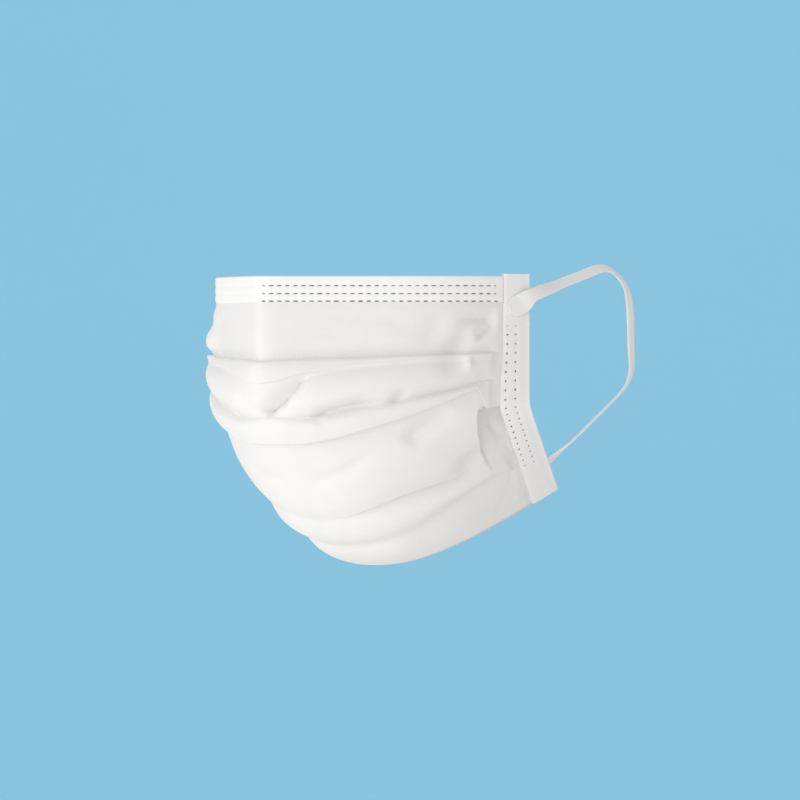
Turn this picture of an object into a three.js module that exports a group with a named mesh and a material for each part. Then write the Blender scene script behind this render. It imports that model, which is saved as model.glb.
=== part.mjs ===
// Pleated surgical face mask, shown as it is worn, with two elastic ear loops.
// Millimetres. +Z is up, the wearer faces -Y and the wearer's left is +X.
// The origin is the top of the nose ridge, where the mask sits on the wearer's nose.
// A place on the mask is (across, down, out): across runs from 0 at the nose ridge to 1 or -1 at a
// side edge, down from 0 at the top edge to 1 at the bottom edge, and out is the distance in
// millimetres in front of the worn form.

import * as THREE from 'three';

// Worn form
const HALF_SPAN = 60.8;        // nose ridge to side edge, sideways
const SIDE_BACK = 60.1;        // nose ridge to side edge, front to back
const SIDE_UPRIGHT = 40.6;     // side edge in front of the ear, which stands upright
const SIDE_JAW = 48;           // side edge below it, which runs back under the jaw
const JAW_IN = 0.354;          // direction of that run, as shares of its length
const JAW_BACK = 0.75;
const JAW_DOWN = 0.556;
const FRONT_DROP = 91.7;       // top of the nose ridge to the bottom edge under the chin
const FRONT_BACK = 57;         // how far back the bottom edge lies under the chin
const RIDGE_ROUNDING = 0.035;  // share of the half width over which the nose ridge is rounded
const KINK_ROUNDING = 0.02;    // share of the side edge over which its kink is rounded

// Cloth
const CLOTH = 1.5;             // wall of the layered cloth
const BINDING = 1;             // wall of the folded side bindings
const HEM = 1;                 // wall of the folded top hem
const GAP = 0.3;               // clearance between neighbouring pieces
const HEM_HEIGHT = 8.2;
const BINDING_WIDTH = 10.2;
const BINDING_RISE = 0.7;      // how far a binding stands above the hem
const PLEAT_LIFT = 2.8;        // how far the most open pleat stands out
const PANEL_PUFF = 3.2;        // how far the fullest panel between two pleats swells

// Ear loops
const LOOP_WIDTH = 4.4;
const LOOP_THICKNESS = 1;
const LOOP_REACH = 40;         // how far a loop stands off the line between its two ends
const RIGHT_SAG = 3.5;         // how much lower the right loop hangs at its full reach
const PAD_WIDTH = 7;           // width of the flattened upper end
const PAD_LENGTH = 7.4;
const UPPER_END = 0.1;         // height of the loop's two ends, as shares of the side edge
const LOWER_END = 0.885;

// Fineness of the mesh
const COLUMNS = 50;
const SWEEP_STEPS = 40;
const BINDING_STEPS = 22;
const LOOP_STEPS = 46;

const WHITE_CLOTH = { color: '#f1f0ec', roughness: 0.9, metalness: 0 };
const HEM_CLOTH = { color: '#eeede9', roughness: 0.85, metalness: 0 };
const BINDING_CLOTH = { color: '#f4f3ef', roughness: 0.8, metalness: 0 };
const ELASTIC = { color: '#f3eee4', roughness: 0.85, metalness: 0 };

// Length down the front, used to turn millimetres into shares of the height.
const FRONT_LENGTH = Math.hypot(FRONT_DROP, FRONT_BACK) * 1.085;
// Length from the nose ridge to a side edge, used the same way across.
const HALF_WIDTH = Math.hypot(HALF_SPAN, SIDE_BACK) * 1.02;

// The profile down the middle of the face. back is a share of FRONT_BACK and drop of FRONT_DROP.
const PROFILE = [
  { at: 0, back: 0, drop: 0 },
  { at: 0.12, back: 0, drop: 0.15 },
  { at: 0.25, back: 0, drop: 0.318 },
  { at: 0.36, back: 0.045, drop: 0.455 },
  { at: 0.48, back: 0.175, drop: 0.58 },
  { at: 0.6, back: 0.345, drop: 0.69 },
  { at: 0.74, back: 0.54, drop: 0.828 },
  { at: 0.88, back: 0.787, drop: 0.937 },
  { at: 1, back: 1, drop: 1 },
];

// How each height bends from the middle to a side edge. noseTurn and earTurn are degrees away from
// straight back at the middle and at the edge. noseRun and earRun say how long each direction is
// kept, as shares of the straight distance, and earRise is the upward slope at the edge.
const BENDS = [
  { at: 0, noseTurn: 53.5, noseRun: 0.52, earTurn: 19, earRun: 0.38, earRise: 0 },
  { at: 0.22, noseTurn: 54, noseRun: 0.52, earTurn: 19, earRun: 0.38, earRise: 0 },
  { at: 0.34, noseTurn: 74, noseRun: 0.38, earTurn: 20, earRun: 0.3, earRise: 0 },
  { at: 0.48, noseTurn: 79, noseRun: 0.32, earTurn: 20, earRun: 0.28, earRise: 0.05 },
  { at: 0.62, noseTurn: 87, noseRun: 0.335, earTurn: 18, earRun: 0.3, earRise: 0.2 },
  { at: 0.8, noseTurn: 90, noseRun: 0.38, earTurn: 17, earRun: 0.3, earRise: 0.31 },
  { at: 1, noseTurn: 90, noseRun: 0.39, earTurn: 16, earRun: 0.3, earRise: 0.42 },
];

// The pleats, from the top. crest and lip are the upper and lower edge of the raised fold, as
// heights. lift is its height over the cloth above, as a share of PLEAT_LIFT. tuck is how deep the
// cloth goes back under the lip, and valley how deep it lies above the crest, as shares of that lift.
const PLEATS = {
  nose: [
    { at: 0, crest: 0.23, lip: 0.288, lift: 0.57, tuck: 0.88, valley: 0 },
    { at: 0.05, crest: 0.228, lip: 0.284, lift: 0.57, tuck: 0.88, valley: 0 },
    { at: 0.13, crest: 0.226, lip: 0.268, lift: 0.57, tuck: 0.88, valley: 0 },
    { at: 0.3, crest: 0.232, lip: 0.26, lift: 0.61, tuck: 0.47, valley: 0 },
    { at: 0.45, crest: 0.241, lip: 0.264, lift: 0.61, tuck: 0.12, valley: 0.12 },
    { at: 0.77, crest: 0.262, lip: 0.278, lift: 0.5, tuck: 0.2, valley: 0.2 },
    { at: 1, crest: 0.274, lip: 0.286, lift: 0.25, tuck: 0.4, valley: 0 },
  ],
  mouth: [
    { at: 0, crest: 0.386, lip: 0.484, lift: 0.71, tuck: 0.8, valley: 0 },
    { at: 0.1, crest: 0.394, lip: 0.484, lift: 0.79, tuck: 0.9, valley: 0.14 },
    { at: 0.2, crest: 0.4, lip: 0.478, lift: 0.93, tuck: 1, valley: 0.4 },
    { at: 0.35, crest: 0.389, lip: 0.462, lift: 1, tuck: 1, valley: 0.3 },
    { at: 0.5, crest: 0.384, lip: 0.444, lift: 1, tuck: 1, valley: 0.15 },
    { at: 0.65, crest: 0.378, lip: 0.418, lift: 0.93, tuck: 1, valley: 0.1 },
    { at: 0.77, crest: 0.368, lip: 0.386, lift: 0.79, tuck: 0.9, valley: 0 },
    { at: 0.83, crest: 0.36, lip: 0.454, lift: 0.43, tuck: 0.95, valley: 0 },
    { at: 0.89, crest: 0.361, lip: 0.466, lift: 0.38, tuck: 1, valley: 0 },
    { at: 1, crest: 0.43, lip: 0.472, lift: 0.3, tuck: 0.86, valley: 0 },
  ],
  chin: [
    { at: 0, crest: 0.7, lip: 0.754, lift: 0.15, tuck: 0.6, valley: 0 },
    { at: 0.1, crest: 0.7, lip: 0.752, lift: 0.3, tuck: 0.8, valley: 0 },
    { at: 0.2, crest: 0.69, lip: 0.74, lift: 0.45, tuck: 1, valley: 0 },
    { at: 0.4, crest: 0.69, lip: 0.736, lift: 0.6, tuck: 1.15, valley: 0 },
    { at: 0.52, crest: 0.69, lip: 0.732, lift: 0.6, tuck: 1.25, valley: 0 },
    { at: 0.6, crest: 0.69, lip: 0.728, lift: 0.36, tuck: 0.8, valley: 0 },
    { at: 0.72, crest: 0.66, lip: 0.69, lift: 0.18, tuck: 0.4, valley: 0 },
    { at: 0.89, crest: 0.64, lip: 0.68, lift: 0.21, tuck: 0.8, valley: 0 },
    { at: 1, crest: 0.64, lip: 0.68, lift: 0.21, tuck: 0.8, valley: 0 },
  ],
  jaw: [
    { at: 0, crest: 0.83, lip: 0.878, lift: 0.1, tuck: 0.3, valley: 0 },
    { at: 0.15, crest: 0.83, lip: 0.875, lift: 0.14, tuck: 0.7, valley: 0 },
    { at: 0.3, crest: 0.82, lip: 0.862, lift: 0.3, tuck: 1.3, valley: 0 },
    { at: 0.38, crest: 0.81, lip: 0.85, lift: 0.38, tuck: 1.7, valley: 0 },
    { at: 0.48, crest: 0.78, lip: 0.817, lift: 0.44, tuck: 1.8, valley: 0 },
    { at: 0.62, crest: 0.766, lip: 0.802, lift: 0.46, tuck: 1.85, valley: 0 },
    { at: 0.76, crest: 0.766, lip: 0.8, lift: 0.39, tuck: 1.6, valley: 0 },
    { at: 0.89, crest: 0.8, lip: 0.836, lift: 0.25, tuck: 0.85, valley: 0 },
    { at: 1, crest: 0.82, lip: 0.86, lift: 0.21, tuck: 0.85, valley: 0 },
  ],
};

// How far each panel swells between its pleats, from the top down, as shares of PANEL_PUFF.
const PUFFS = [
  { at: 0, nose: 0, mouth: 0.31, chin: 0.32, jaw: 0.25, bottom: 0.2 },
  { at: 0.3, nose: 0, mouth: 0.38, chin: 0.4, jaw: 0.42, bottom: 0.4 },
  { at: 0.55, nose: 0, mouth: 0.43, chin: 0.5, jaw: 0.46, bottom: 0.36 },
  { at: 0.7, nose: 0, mouth: 0.47, chin: 0.55, jaw: 0.34, bottom: 0.22 },
  { at: 0.83, nose: 0, mouth: 0.12, chin: 0.3, jaw: 0.19, bottom: 0.06 },
  { at: 1, nose: 0, mouth: 0, chin: 0, jaw: 0, bottom: 0 },
];
// How far below the middle of its panel a puff is fullest, from 0 to 1.
const PUFF_SAG = { nose: 0, mouth: 0, chin: 1.4, jaw: 0.6, bottom: 0 };

// Dents on the wearer's left cheek, repeated more gently on the right one. long and wide are half
// sizes, as shares of the front's length. turn is in degrees, rising towards the ear, and depth is
// a share of PLEAT_LIFT. A row with a negative place is on the right cheek alone.
const DENTS = [
  { across: 0.085, down: 0.34, long: 0.081, wide: 0.029, turn: 42, depth: 1.14 },
  { across: 0.21, down: 0.365, long: 0.034, wide: 0.015, turn: 35, depth: 0.43 },
  { across: 0.49, down: 0.355, long: 0.021, wide: 0.014, turn: 30, depth: 0.43 },
  { across: 0.565, down: 0.49, long: 0.077, wide: 0.019, turn: 30, depth: 0.64 },
  { across: 0.22, down: 0.64, long: 0.085, wide: 0.026, turn: 16, depth: 0.43 },
  { across: 0.16, down: 0.625, long: 0.03, wide: 0.043, turn: 60, depth: 0.29 },
  { across: 0.815, down: 0.52, long: 0.029, wide: 0.073, turn: 0, depth: 1.96 },
  { across: 0.745, down: 0.65, long: 0.06, wide: 0.038, turn: 35, depth: 0.71 },
  { across: 0.87, down: 0.62, long: 0.051, wide: 0.026, turn: -62, depth: 0.57 },
  { across: 0.81, down: 0.15, long: 0.055, wide: 0.017, turn: 4, depth: 0.36 },
  { across: 0.83, down: 0.18, long: 0.051, wide: 0.017, turn: 38, depth: 0.5 },
  { across: 0.71, down: 0.225, long: 0.06, wide: 0.038, turn: 50, depth: 0.36 },
  { across: 0.69, down: 0.3, long: 0.043, wide: 0.034, turn: 10, depth: 0.36 },
  { across: -0.61, down: 0.19, long: 0.08, wide: 0.032, turn: 0, depth: -1.1 },
  { across: -0.61, down: 0.23, long: 0.08, wide: 0.028, turn: 0, depth: -0.7 },
  { across: -0.62, down: 0.125, long: 0.08, wide: 0.04, turn: 0, depth: -0.35 },
];
const RIGHT_CHEEK = 0.5;       // depth of the repeated dents

// The free run of an ear loop, from its upper to its lower end. along is a share of the line between
// the two ends, rise and out are shares of LOOP_REACH, and turn is how the band's flat side lies, in
// degrees away from facing sideways.
const LOOP_RUN = [
  { along: 0.052, rise: 0.352, out: 0.02, turn: -68 },
  { along: 0.082, rise: 0.627, out: 0.07, turn: -76 },
  { along: 0.1, rise: 0.798, out: 0.105, turn: -80 },
  { along: 0.123, rise: 0.873, out: 0.13, turn: -68 },
  { along: 0.181, rise: 0.95, out: 0.155, turn: -50 },
  { along: 0.243, rise: 0.995, out: 0.19, turn: -32 },
  { along: 0.335, rise: 1.02, out: 0.21, turn: -12 },
  { along: 0.438, rise: 0.99, out: 0.235, turn: -8 },
  { along: 0.568, rise: 0.936, out: 0.26, turn: -10 },
  { along: 0.694, rise: 0.874, out: 0.29, turn: -20 },
  { along: 0.75, rise: 0.797, out: 0.29, turn: -36 },
  { along: 0.786, rise: 0.666, out: 0.27, turn: -52 },
  { along: 0.84, rise: 0.44, out: 0.21, turn: -58 },
  { along: 0.91, rise: 0.19, out: 0.13, turn: -56 },
];

const smooth = (from, to, value) => {
  const share = Math.min(1, Math.max(0, (value - from) / (to - from)));
  return share * share * (3 - 2 * share);
};

// Slope of one column of a table at one of its rows, kept flat at each high or low value.
function slopeAt(table, row, column) {
  const last = table.length - 1;
  const rate = (i) => (table[i + 1][column] - table[i][column]) / (table[i + 1].at - table[i].at);
  if (row === 0) return rate(0);
  if (row === last) return rate(last - 1);
  const before = rate(row - 1);
  const after = rate(row);
  return before * after > 0 ? (2 * before * after) / (before + after) : 0;
}

// The smooth curve through one column of a table, at the place where.
function read(table, column, where) {
  let row = 0;
  while (row < table.length - 2 && where > table[row + 1].at) row += 1;
  const length = table[row + 1].at - table[row].at;
  const u = (where - table[row].at) / length;
  const start = table[row][column];
  const end = table[row + 1][column];
  const startSlope = slopeAt(table, row, column) * length;
  const endSlope = slopeAt(table, row + 1, column) * length;
  return (2 * u ** 3 - 3 * u ** 2 + 1) * start + (u ** 3 - 2 * u ** 2 + u) * startSlope
    + (3 * u ** 2 - 2 * u ** 3) * end + (u ** 3 - u ** 2) * endSlope;
}

// The side edge at a height: upright in front of the ear, then back under the jaw.
function sideEdge(down) {
  const run = SIDE_UPRIGHT + SIDE_JAW;
  const past = down - SIDE_UPRIGHT / run;
  const jaw = 0.5 * (past + Math.hypot(past, KINK_ROUNDING)) * run;
  const upright = down * run - jaw;
  return new THREE.Vector3(HALF_SPAN - JAW_IN * jaw, SIDE_BACK + JAW_BACK * jaw, -upright - JAW_DOWN * jaw);
}

function bendPoint(points, u) {
  const v = 1 - u;
  const weights = [v ** 3, 3 * v ** 2 * u, 3 * v * u ** 2, u ** 3];
  const sum = new THREE.Vector3();
  points.forEach((point, i) => sum.addScaledVector(point, weights[i]));
  return sum;
}

// The smooth worn form, without pleats.
function form(across, down) {
  const middle = new THREE.Vector3(
    0, read(PROFILE, 'back', down) * FRONT_BACK, -read(PROFILE, 'drop', down) * FRONT_DROP);
  const edge = sideEdge(down);
  const reach = middle.distanceTo(edge);
  const noseTurn = THREE.MathUtils.degToRad(read(BENDS, 'noseTurn', down));
  const earTurn = THREE.MathUtils.degToRad(read(BENDS, 'earTurn', down));
  const rise = read(BENDS, 'earRise', down);
  const level = Math.sqrt(1 - rise * rise);
  const leaving = new THREE.Vector3(Math.sin(noseTurn), Math.cos(noseTurn), 0);
  const arriving = new THREE.Vector3(Math.sin(earTurn) * level, Math.cos(earTurn) * level, rise);
  const points = [
    middle,
    middle.clone().addScaledVector(leaving, read(BENDS, 'noseRun', down) * reach),
    edge.clone().addScaledVector(arriving, -read(BENDS, 'earRun', down) * reach),
    edge,
  ];
  const share = Math.abs(across);
  const blunt = Math.hypot(share, RIDGE_ROUNDING) - RIDGE_ROUNDING;
  const rounded = bendPoint(points, blunt / (Math.hypot(1, RIDGE_ROUNDING) - RIDGE_ROUNDING));
  rounded.x = Math.sign(across) * bendPoint(points, share).x;
  return rounded;
}

// The direction away from the wearer's face at a place on the form.
function outward(across, down) {
  const step = 0.001;
  const sideways = form(across + step, down).sub(form(across - step, down));
  const downwards = form(across, down + step).sub(form(across, down - step));
  return downwards.cross(sideways).normalize();
}

function place(across, down, out) {
  return form(across, down).addScaledVector(outward(across, down), out);
}

// A length measured in from a side edge, or down from the top edge, as a share.
function shareAcross(length, down) {
  const stretch = 0.04;
  return (length * stretch) / form(1, down).distanceTo(form(1 - stretch, down));
}

function shareDown(length, across) {
  const stretch = 0.04;
  return (length * stretch) / form(across, stretch).distanceTo(form(across, 0));
}

// Pleats are pressed flat under the hem and under the bindings.
function pressed(across, down) {
  const hem = shareDown(HEM_HEIGHT + GAP, across);
  const binding = 1 - shareAcross(BINDING_WIDTH, down);
  const sides = 1 - smooth(binding - 0.05, binding - 0.01, Math.abs(across));
  return sides * smooth(hem + 0.01, hem + 0.06, down);
}

// How deep the dents are at a place on the form.
function dentDepth(across, down) {
  let depth = 0;
  for (const dent of DENTS) {
    for (const side of dent.across > 0 ? [1, -1] : [1]) {
      const x = (side * across - dent.across) * HALF_WIDTH;
      const y = (dent.down - down) * FRONT_LENGTH;
      const turn = THREE.MathUtils.degToRad(dent.turn);
      const u = (x * Math.cos(turn) + y * Math.sin(turn)) / (dent.long * FRONT_LENGTH);
      const v = (y * Math.cos(turn) - x * Math.sin(turn)) / (dent.wide * FRONT_LENGTH);
      const square = u * u + v * v;
      if (square < 4) {
        const share = side > 0 ? 1 : RIGHT_CHEEK;
        depth += share * dent.depth * PLEAT_LIFT * (1 - square / 4) ** 2 * Math.exp(-0.6 * square);
      }
    }
  }
  return depth;
}

// How far a panel swells, at the share u of its height from the top down.
function swell(panel, where, u) {
  const fullness = read(PUFFS, panel, where) * PANEL_PUFF;
  return fullness * 4 * u * (1 - u) * (1 + PUFF_SAG[panel] * (u - 0.5));
}

// One column of the cloth's outer face: every row's height and how far it stands out. The cloth
// runs down a panel, steps out over a pleat's crest to its lip, and goes back in beneath it.
const PANEL_ROWS = { nose: 4, mouth: 3, chin: 5, jaw: 2, bottom: 3 };

function pleatedColumn(across) {
  const where = Math.abs(across);
  const rows = [{ down: shareDown(GAP + HEM, across), out: 0 }];
  let last = rows[0];
  for (const [name, pleat] of Object.entries(PLEATS)) {
    const crest = read(pleat, 'crest', where);
    const lip = read(pleat, 'lip', where);
    const lift = read(pleat, 'lift', where) * PLEAT_LIFT;
    const tuck = read(pleat, 'tuck', where) * lift;
    const valley = read(pleat, 'valley', where) * lift;
    const foot = crest - 0.016;
    for (let i = 1; i <= PANEL_ROWS[name]; i += 1) {
      const u = i / PANEL_ROWS[name];
      const fall = smooth(0, 1, u);
      rows.push({
        down: last.down + (foot - last.down) * u,
        out: last.out * (1 - fall) - valley * fall + swell(name, where, u),
      });
    }
    const fold = Math.min(1, tuck / 1.5);
    const hidden = Math.min(0.01, (lip - crest) / 2) * fold - 0.006 * (1 - fold);
    rows.push({ down: crest, out: lift * 0.9 });
    rows.push({ down: lip, out: lift });
    rows.push({ down: lip - hidden, out: lift - tuck });
    rows.push({ down: lip + 0.012, out: lift - tuck });
    last = rows[rows.length - 1];
  }
  for (let i = 1; i <= PANEL_ROWS.bottom; i += 1) {
    const u = i / PANEL_ROWS.bottom;
    rows.push({ down: last.down + (1 - last.down) * u, out: last.out * (1 - u) + swell('bottom', where, u) });
  }
  return rows.map((row) => ({
    down: row.down,
    out: (row.out - dentDepth(across, row.down)) * pressed(across, row.down),
  }));
}

// The inner face lies behind the deepest cloth near each row, so a tucked fold stays inside the wall.
function innerColumn(column) {
  const near = 0.012;
  const heights = column.map((row) => row.down);
  return column.map((row, i) => {
    const close = column.filter((other) => Math.abs(other.down - row.down) <= near);
    const above = Math.max(...heights.slice(0, i + 1));
    const below = Math.min(...heights.slice(i));
    return { down: (above + below) / 2, out: Math.min(...close.map((other) => other.out)) - CLOTH };
  });
}

function solidFrom(points, triangles) {
  const volume = triangles.reduce(
    (sum, [a, b, c]) => sum + points[a].dot(points[b].clone().cross(points[c])), 0);
  const index = triangles.flatMap(([a, b, c]) => (volume > 0 ? [a, b, c] : [a, c, b]));
  const geometry = new THREE.BufferGeometry();
  geometry.setAttribute('position', new THREE.Float32BufferAttribute(points.flatMap((p) => p.toArray()), 3));
  geometry.setIndex(index);
  geometry.computeVertexNormals();
  return geometry;
}

// A solid between two grids of points with the same rows and columns.
function shellBetween(outer, inner) {
  const columns = outer.length;
  const rows = outer[0].length;
  const points = [...outer.flat(), ...inner.flat()];
  const front = (column, row) => column * rows + row;
  const back = (column, row) => columns * rows + column * rows + row;
  const triangles = [];
  const quad = (a, b, c, d) => triangles.push([a, b, c], [a, c, d]);
  for (let i = 0; i < columns - 1; i += 1) {
    for (let j = 0; j < rows - 1; j += 1) {
      quad(front(i, j), front(i + 1, j), front(i + 1, j + 1), front(i, j + 1));
      quad(back(i, j), back(i, j + 1), back(i + 1, j + 1), back(i + 1, j));
    }
    quad(front(i, 0), back(i, 0), back(i + 1, 0), front(i + 1, 0));
    quad(front(i, rows - 1), front(i + 1, rows - 1), back(i + 1, rows - 1), back(i, rows - 1));
  }
  for (let j = 0; j < rows - 1; j += 1) {
    quad(front(0, j), front(0, j + 1), back(0, j + 1), back(0, j));
    quad(front(columns - 1, j), back(columns - 1, j), back(columns - 1, j + 1), front(columns - 1, j + 1));
  }
  return solidFrom(points, triangles);
}

// A solid through a row of equal closed sections. outline is the flat shape of one section.
function sweptSolid(sections, outline) {
  const sides = outline.length;
  const points = sections.flat();
  const triangles = [];
  for (let i = 0; i < sections.length - 1; i += 1) {
    for (let j = 0; j < sides; j += 1) {
      const a = i * sides + j;
      const b = i * sides + ((j + 1) % sides);
      triangles.push([a, b, b + sides], [a, b + sides, a + sides]);
    }
  }
  const cap = THREE.ShapeUtils.triangulateShape(outline, []);
  const turned = THREE.ShapeUtils.area(outline) > 0;
  const last = (sections.length - 1) * sides;
  for (const [a, b, c] of cap) {
    triangles.push(turned ? [a, c, b] : [a, b, c]);
    triangles.push(turned ? [last + a, last + b, last + c] : [last + a, last + c, last + b]);
  }
  return solidFrom(points, triangles);
}

// A folded strip around an edge of the cloth, as points (from its fold, out of the form).
function foldedOutline(width, wall) {
  const frontFace = GAP + wall;
  const backFace = -CLOTH - GAP - wall;
  const bevel = wall / 2;
  return [
    [width, frontFace], [bevel, frontFace], [0, frontFace - bevel],
    [0, backFace + bevel], [bevel, backFace], [width, backFace],
    [width, backFace + wall], [wall, backFace + wall],
    [wall, GAP], [width, GAP],
  ].map(([along, out]) => new THREE.Vector2(along, out));
}

function maskBody() {
  const outer = [];
  const inner = [];
  for (let i = 0; i <= COLUMNS; i += 1) {
    const share = (2 * i) / COLUMNS - 1;
    const put = (row) => place(share * (1 - shareAcross(GAP + BINDING, row.down)), row.down, row.out);
    const column = pleatedColumn(share);
    outer.push(column.map(put));
    inner.push(innerColumn(column).map(put));
  }
  return shellBetween(outer, inner);
}

function topHem() {
  const end = 1 - shareAcross(BINDING_WIDTH + GAP, 0);
  const outline = foldedOutline(HEM_HEIGHT, HEM);
  const sections = [];
  for (let i = 0; i <= SWEEP_STEPS; i += 1) {
    const across = end * ((2 * i) / SWEEP_STEPS - 1);
    sections.push(outline.map((point) => place(across, shareDown(point.x, across), point.y)));
  }
  return sweptSolid(sections, outline);
}

function binding(side) {
  const outline = foldedOutline(BINDING_WIDTH, BINDING);
  const top = -shareDown(BINDING_RISE, 1);
  const sections = [];
  for (let i = 0; i <= BINDING_STEPS; i += 1) {
    const down = top + ((1.004 - top) * i) / BINDING_STEPS;
    sections.push(outline.map((point) => place(side * (1 - shareAcross(point.x, down)), down, point.y)));
  }
  return sweptSolid(sections, outline);
}

// The route of an ear loop on the wearer's left: its flattened upper end on the front of the
// binding, the free run behind the ear, and its lower end on the back of the binding. At its full
// reach it hangs lower by sag.
function loopRoute(sag) {
  const seat = GAP + BINDING + GAP + LOOP_THICKNESS / 2;
  const tuckedSeat = -CLOTH - seat;
  const upperAt = (inset, lower) => place(1 - shareAcross(inset, UPPER_END), UPPER_END + lower, seat);
  const lowerAt = (inset, lower) => place(1 - shareAcross(inset, LOWER_END), LOWER_END + lower, tuckedSeat);
  const upper = [upperAt(PAD_LENGTH * 1.125, 0.016), upperAt(PAD_LENGTH / 2, 0), upperAt(0, -0.03)];
  const lower = [lowerAt(0, 0), lowerAt(PAD_LENGTH / 2, 0.008), lowerAt(PAD_LENGTH, 0.014)];
  const start = upper[2];
  const end = lower[0];
  const chord = end.clone().sub(start);
  const length = chord.length();
  const along = chord.clone().normalize();
  const out = new THREE.Vector3(1, 0, 0).addScaledVector(along, -along.x).normalize();
  const rise = out.clone().cross(along).normalize();
  const reach = rise.multiplyScalar(LOOP_REACH).add(new THREE.Vector3(0, 0, -sag));
  const free = LOOP_RUN.map((row) => ({
    at: start.clone().addScaledVector(along, row.along * length)
      .addScaledVector(reach, row.rise).addScaledVector(out, row.out * LOOP_REACH),
    turn: row.turn,
  }));
  return { upper, free, lower };
}

function earLoop(side) {
  const { upper, free, lower } = loopRoute(side > 0 ? 0 : RIGHT_SAG);
  const points = [...upper, ...free.map((row) => row.at), ...lower];
  const curve = new THREE.CatmullRomCurve3(points, false, 'centripetal');
  const seatFacing = [outward(0.95, UPPER_END), outward(0.95, LOWER_END)];
  const facingAt = (index) => {
    if (index < upper.length) return seatFacing[0].clone();
    if (index >= upper.length + free.length) return seatFacing[1].clone();
    const tangent = curve.getTangent(index / (points.length - 1));
    const sideways = new THREE.Vector3(1, 0, 0);
    sideways.addScaledVector(tangent, -sideways.dot(tangent)).normalize();
    return sideways.applyAxisAngle(tangent, THREE.MathUtils.degToRad(free[index - upper.length].turn));
  };
  const facings = points.map((point, index) => facingAt(index));
  const half = LOOP_THICKNESS / 2;
  const corner = half * 0.6;
  const profile = (width) => [
    [width / 2, -corner], [width / 2, corner], [width / 2 - corner, half],
    [-width / 2 + corner, half], [-width / 2, corner], [-width / 2, -corner],
    [-width / 2 + corner, -half], [width / 2 - corner, -half],
  ].map(([x, y]) => new THREE.Vector2(x, y));
  const total = curve.getLength();
  const sections = [];
  for (let i = 0; i <= LOOP_STEPS; i += 1) {
    const t = curve.getUtoTmapping(i / LOOP_STEPS);
    const position = curve.getPoint(t);
    const tangent = curve.getTangent(t);
    const before = Math.min(points.length - 2, Math.floor(t * (points.length - 1)));
    const facing = facings[before].clone().lerp(facings[before + 1], t * (points.length - 1) - before);
    facing.addScaledVector(tangent, -facing.dot(tangent)).normalize();
    const flat = tangent.clone().cross(facing).normalize();
    const gone = (total * i) / LOOP_STEPS;
    const width = PAD_WIDTH + (LOOP_WIDTH - PAD_WIDTH) * smooth(PAD_LENGTH * 0.7, PAD_LENGTH * 1.5, gone);
    const rounding = Math.min(1, 0.55 + 0.45 * smooth(0, PAD_LENGTH * 0.4, gone));
    sections.push(profile(width * rounding).map(({ x, y }) => {
      const point = position.clone().addScaledVector(flat, x).addScaledVector(facing, y);
      point.x *= side;
      return point;
    }));
  }
  return sweptSolid(sections, profile(LOOP_WIDTH));
}

function piece(name, geometry, look) {
  const mesh = new THREE.Mesh(geometry, new THREE.MeshStandardMaterial(look));
  mesh.name = name;
  return mesh;
}

const mask = new THREE.Group();
mask.name = 'surgical_face_mask';
mask.add(piece('mask_body', maskBody(), WHITE_CLOTH));
mask.add(piece('top_hem', topHem(), HEM_CLOTH));
for (const [name, side] of [['left', 1], ['right', -1]]) {
  mask.add(piece(`binding_${name}`, binding(side), BINDING_CLOTH));
  mask.add(piece(`ear_loop_${name}`, earLoop(side), ELASTIC));
}

export default mask;
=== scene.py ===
"""Dresses the pleated surgical face mask: layered nonwoven cloth, welded hem and bindings, knitted ear loops.

Metres, +Z up, the wearer faces -Y. A place on the mask is (across, down, out): across runs from 0 at the
nose ridge to 1 or -1 at a side edge, down from 0 at the top edge to 1 at the bottom edge, and out is the
distance in front of the worn form.
"""

import math

import bpy
import numpy as np
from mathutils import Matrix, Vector


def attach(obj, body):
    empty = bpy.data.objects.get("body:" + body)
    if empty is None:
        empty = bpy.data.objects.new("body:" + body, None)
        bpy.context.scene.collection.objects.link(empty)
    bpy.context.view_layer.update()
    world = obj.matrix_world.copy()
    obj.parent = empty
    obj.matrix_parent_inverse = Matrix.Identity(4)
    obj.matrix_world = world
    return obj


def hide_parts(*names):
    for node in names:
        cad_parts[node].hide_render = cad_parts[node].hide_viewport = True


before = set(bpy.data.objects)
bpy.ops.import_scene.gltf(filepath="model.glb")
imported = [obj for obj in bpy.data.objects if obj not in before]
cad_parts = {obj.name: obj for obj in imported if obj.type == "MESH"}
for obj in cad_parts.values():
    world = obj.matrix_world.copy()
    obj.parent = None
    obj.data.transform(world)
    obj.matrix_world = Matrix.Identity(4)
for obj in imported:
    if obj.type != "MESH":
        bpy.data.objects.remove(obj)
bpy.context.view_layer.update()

bl_info = {
    "name": "Surgical Face Mask",
    "version": (1, 0, 0),
    "blender": (4, 5, 0),
    "location": "View3D > Sidebar > Mask",
    "description": "Builds the cloth, hem, bindings, welds and ear loops of a worn pleated mask",
    "category": "Object",
}

MM = 0.001
SIDES = ((1, "left"), (-1, "right"))

# Worn form: the side edges, the middle of the face, and how its corners are rounded
HALF_SPAN = 60.8 * MM
SIDE_BACK = 60.1 * MM
SIDE_UPRIGHT = 40.6 * MM
SIDE_JAW = 48 * MM
JAW_IN = 0.354
JAW_BACK = 0.75
JAW_DOWN = 0.556
FRONT_DROP = 91.7 * MM
FRONT_BACK = 57 * MM
RIDGE_ROUNDING = 0.035
KINK_ROUNDING = 0.02

# Solids that this cloth stands for
CLOTH = 1.5 * MM
BINDING = 1 * MM
GAP = 0.3 * MM
BINDING_WIDTH = 10.2 * MM
HEM_HEIGHT = 8.2 * MM

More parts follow.
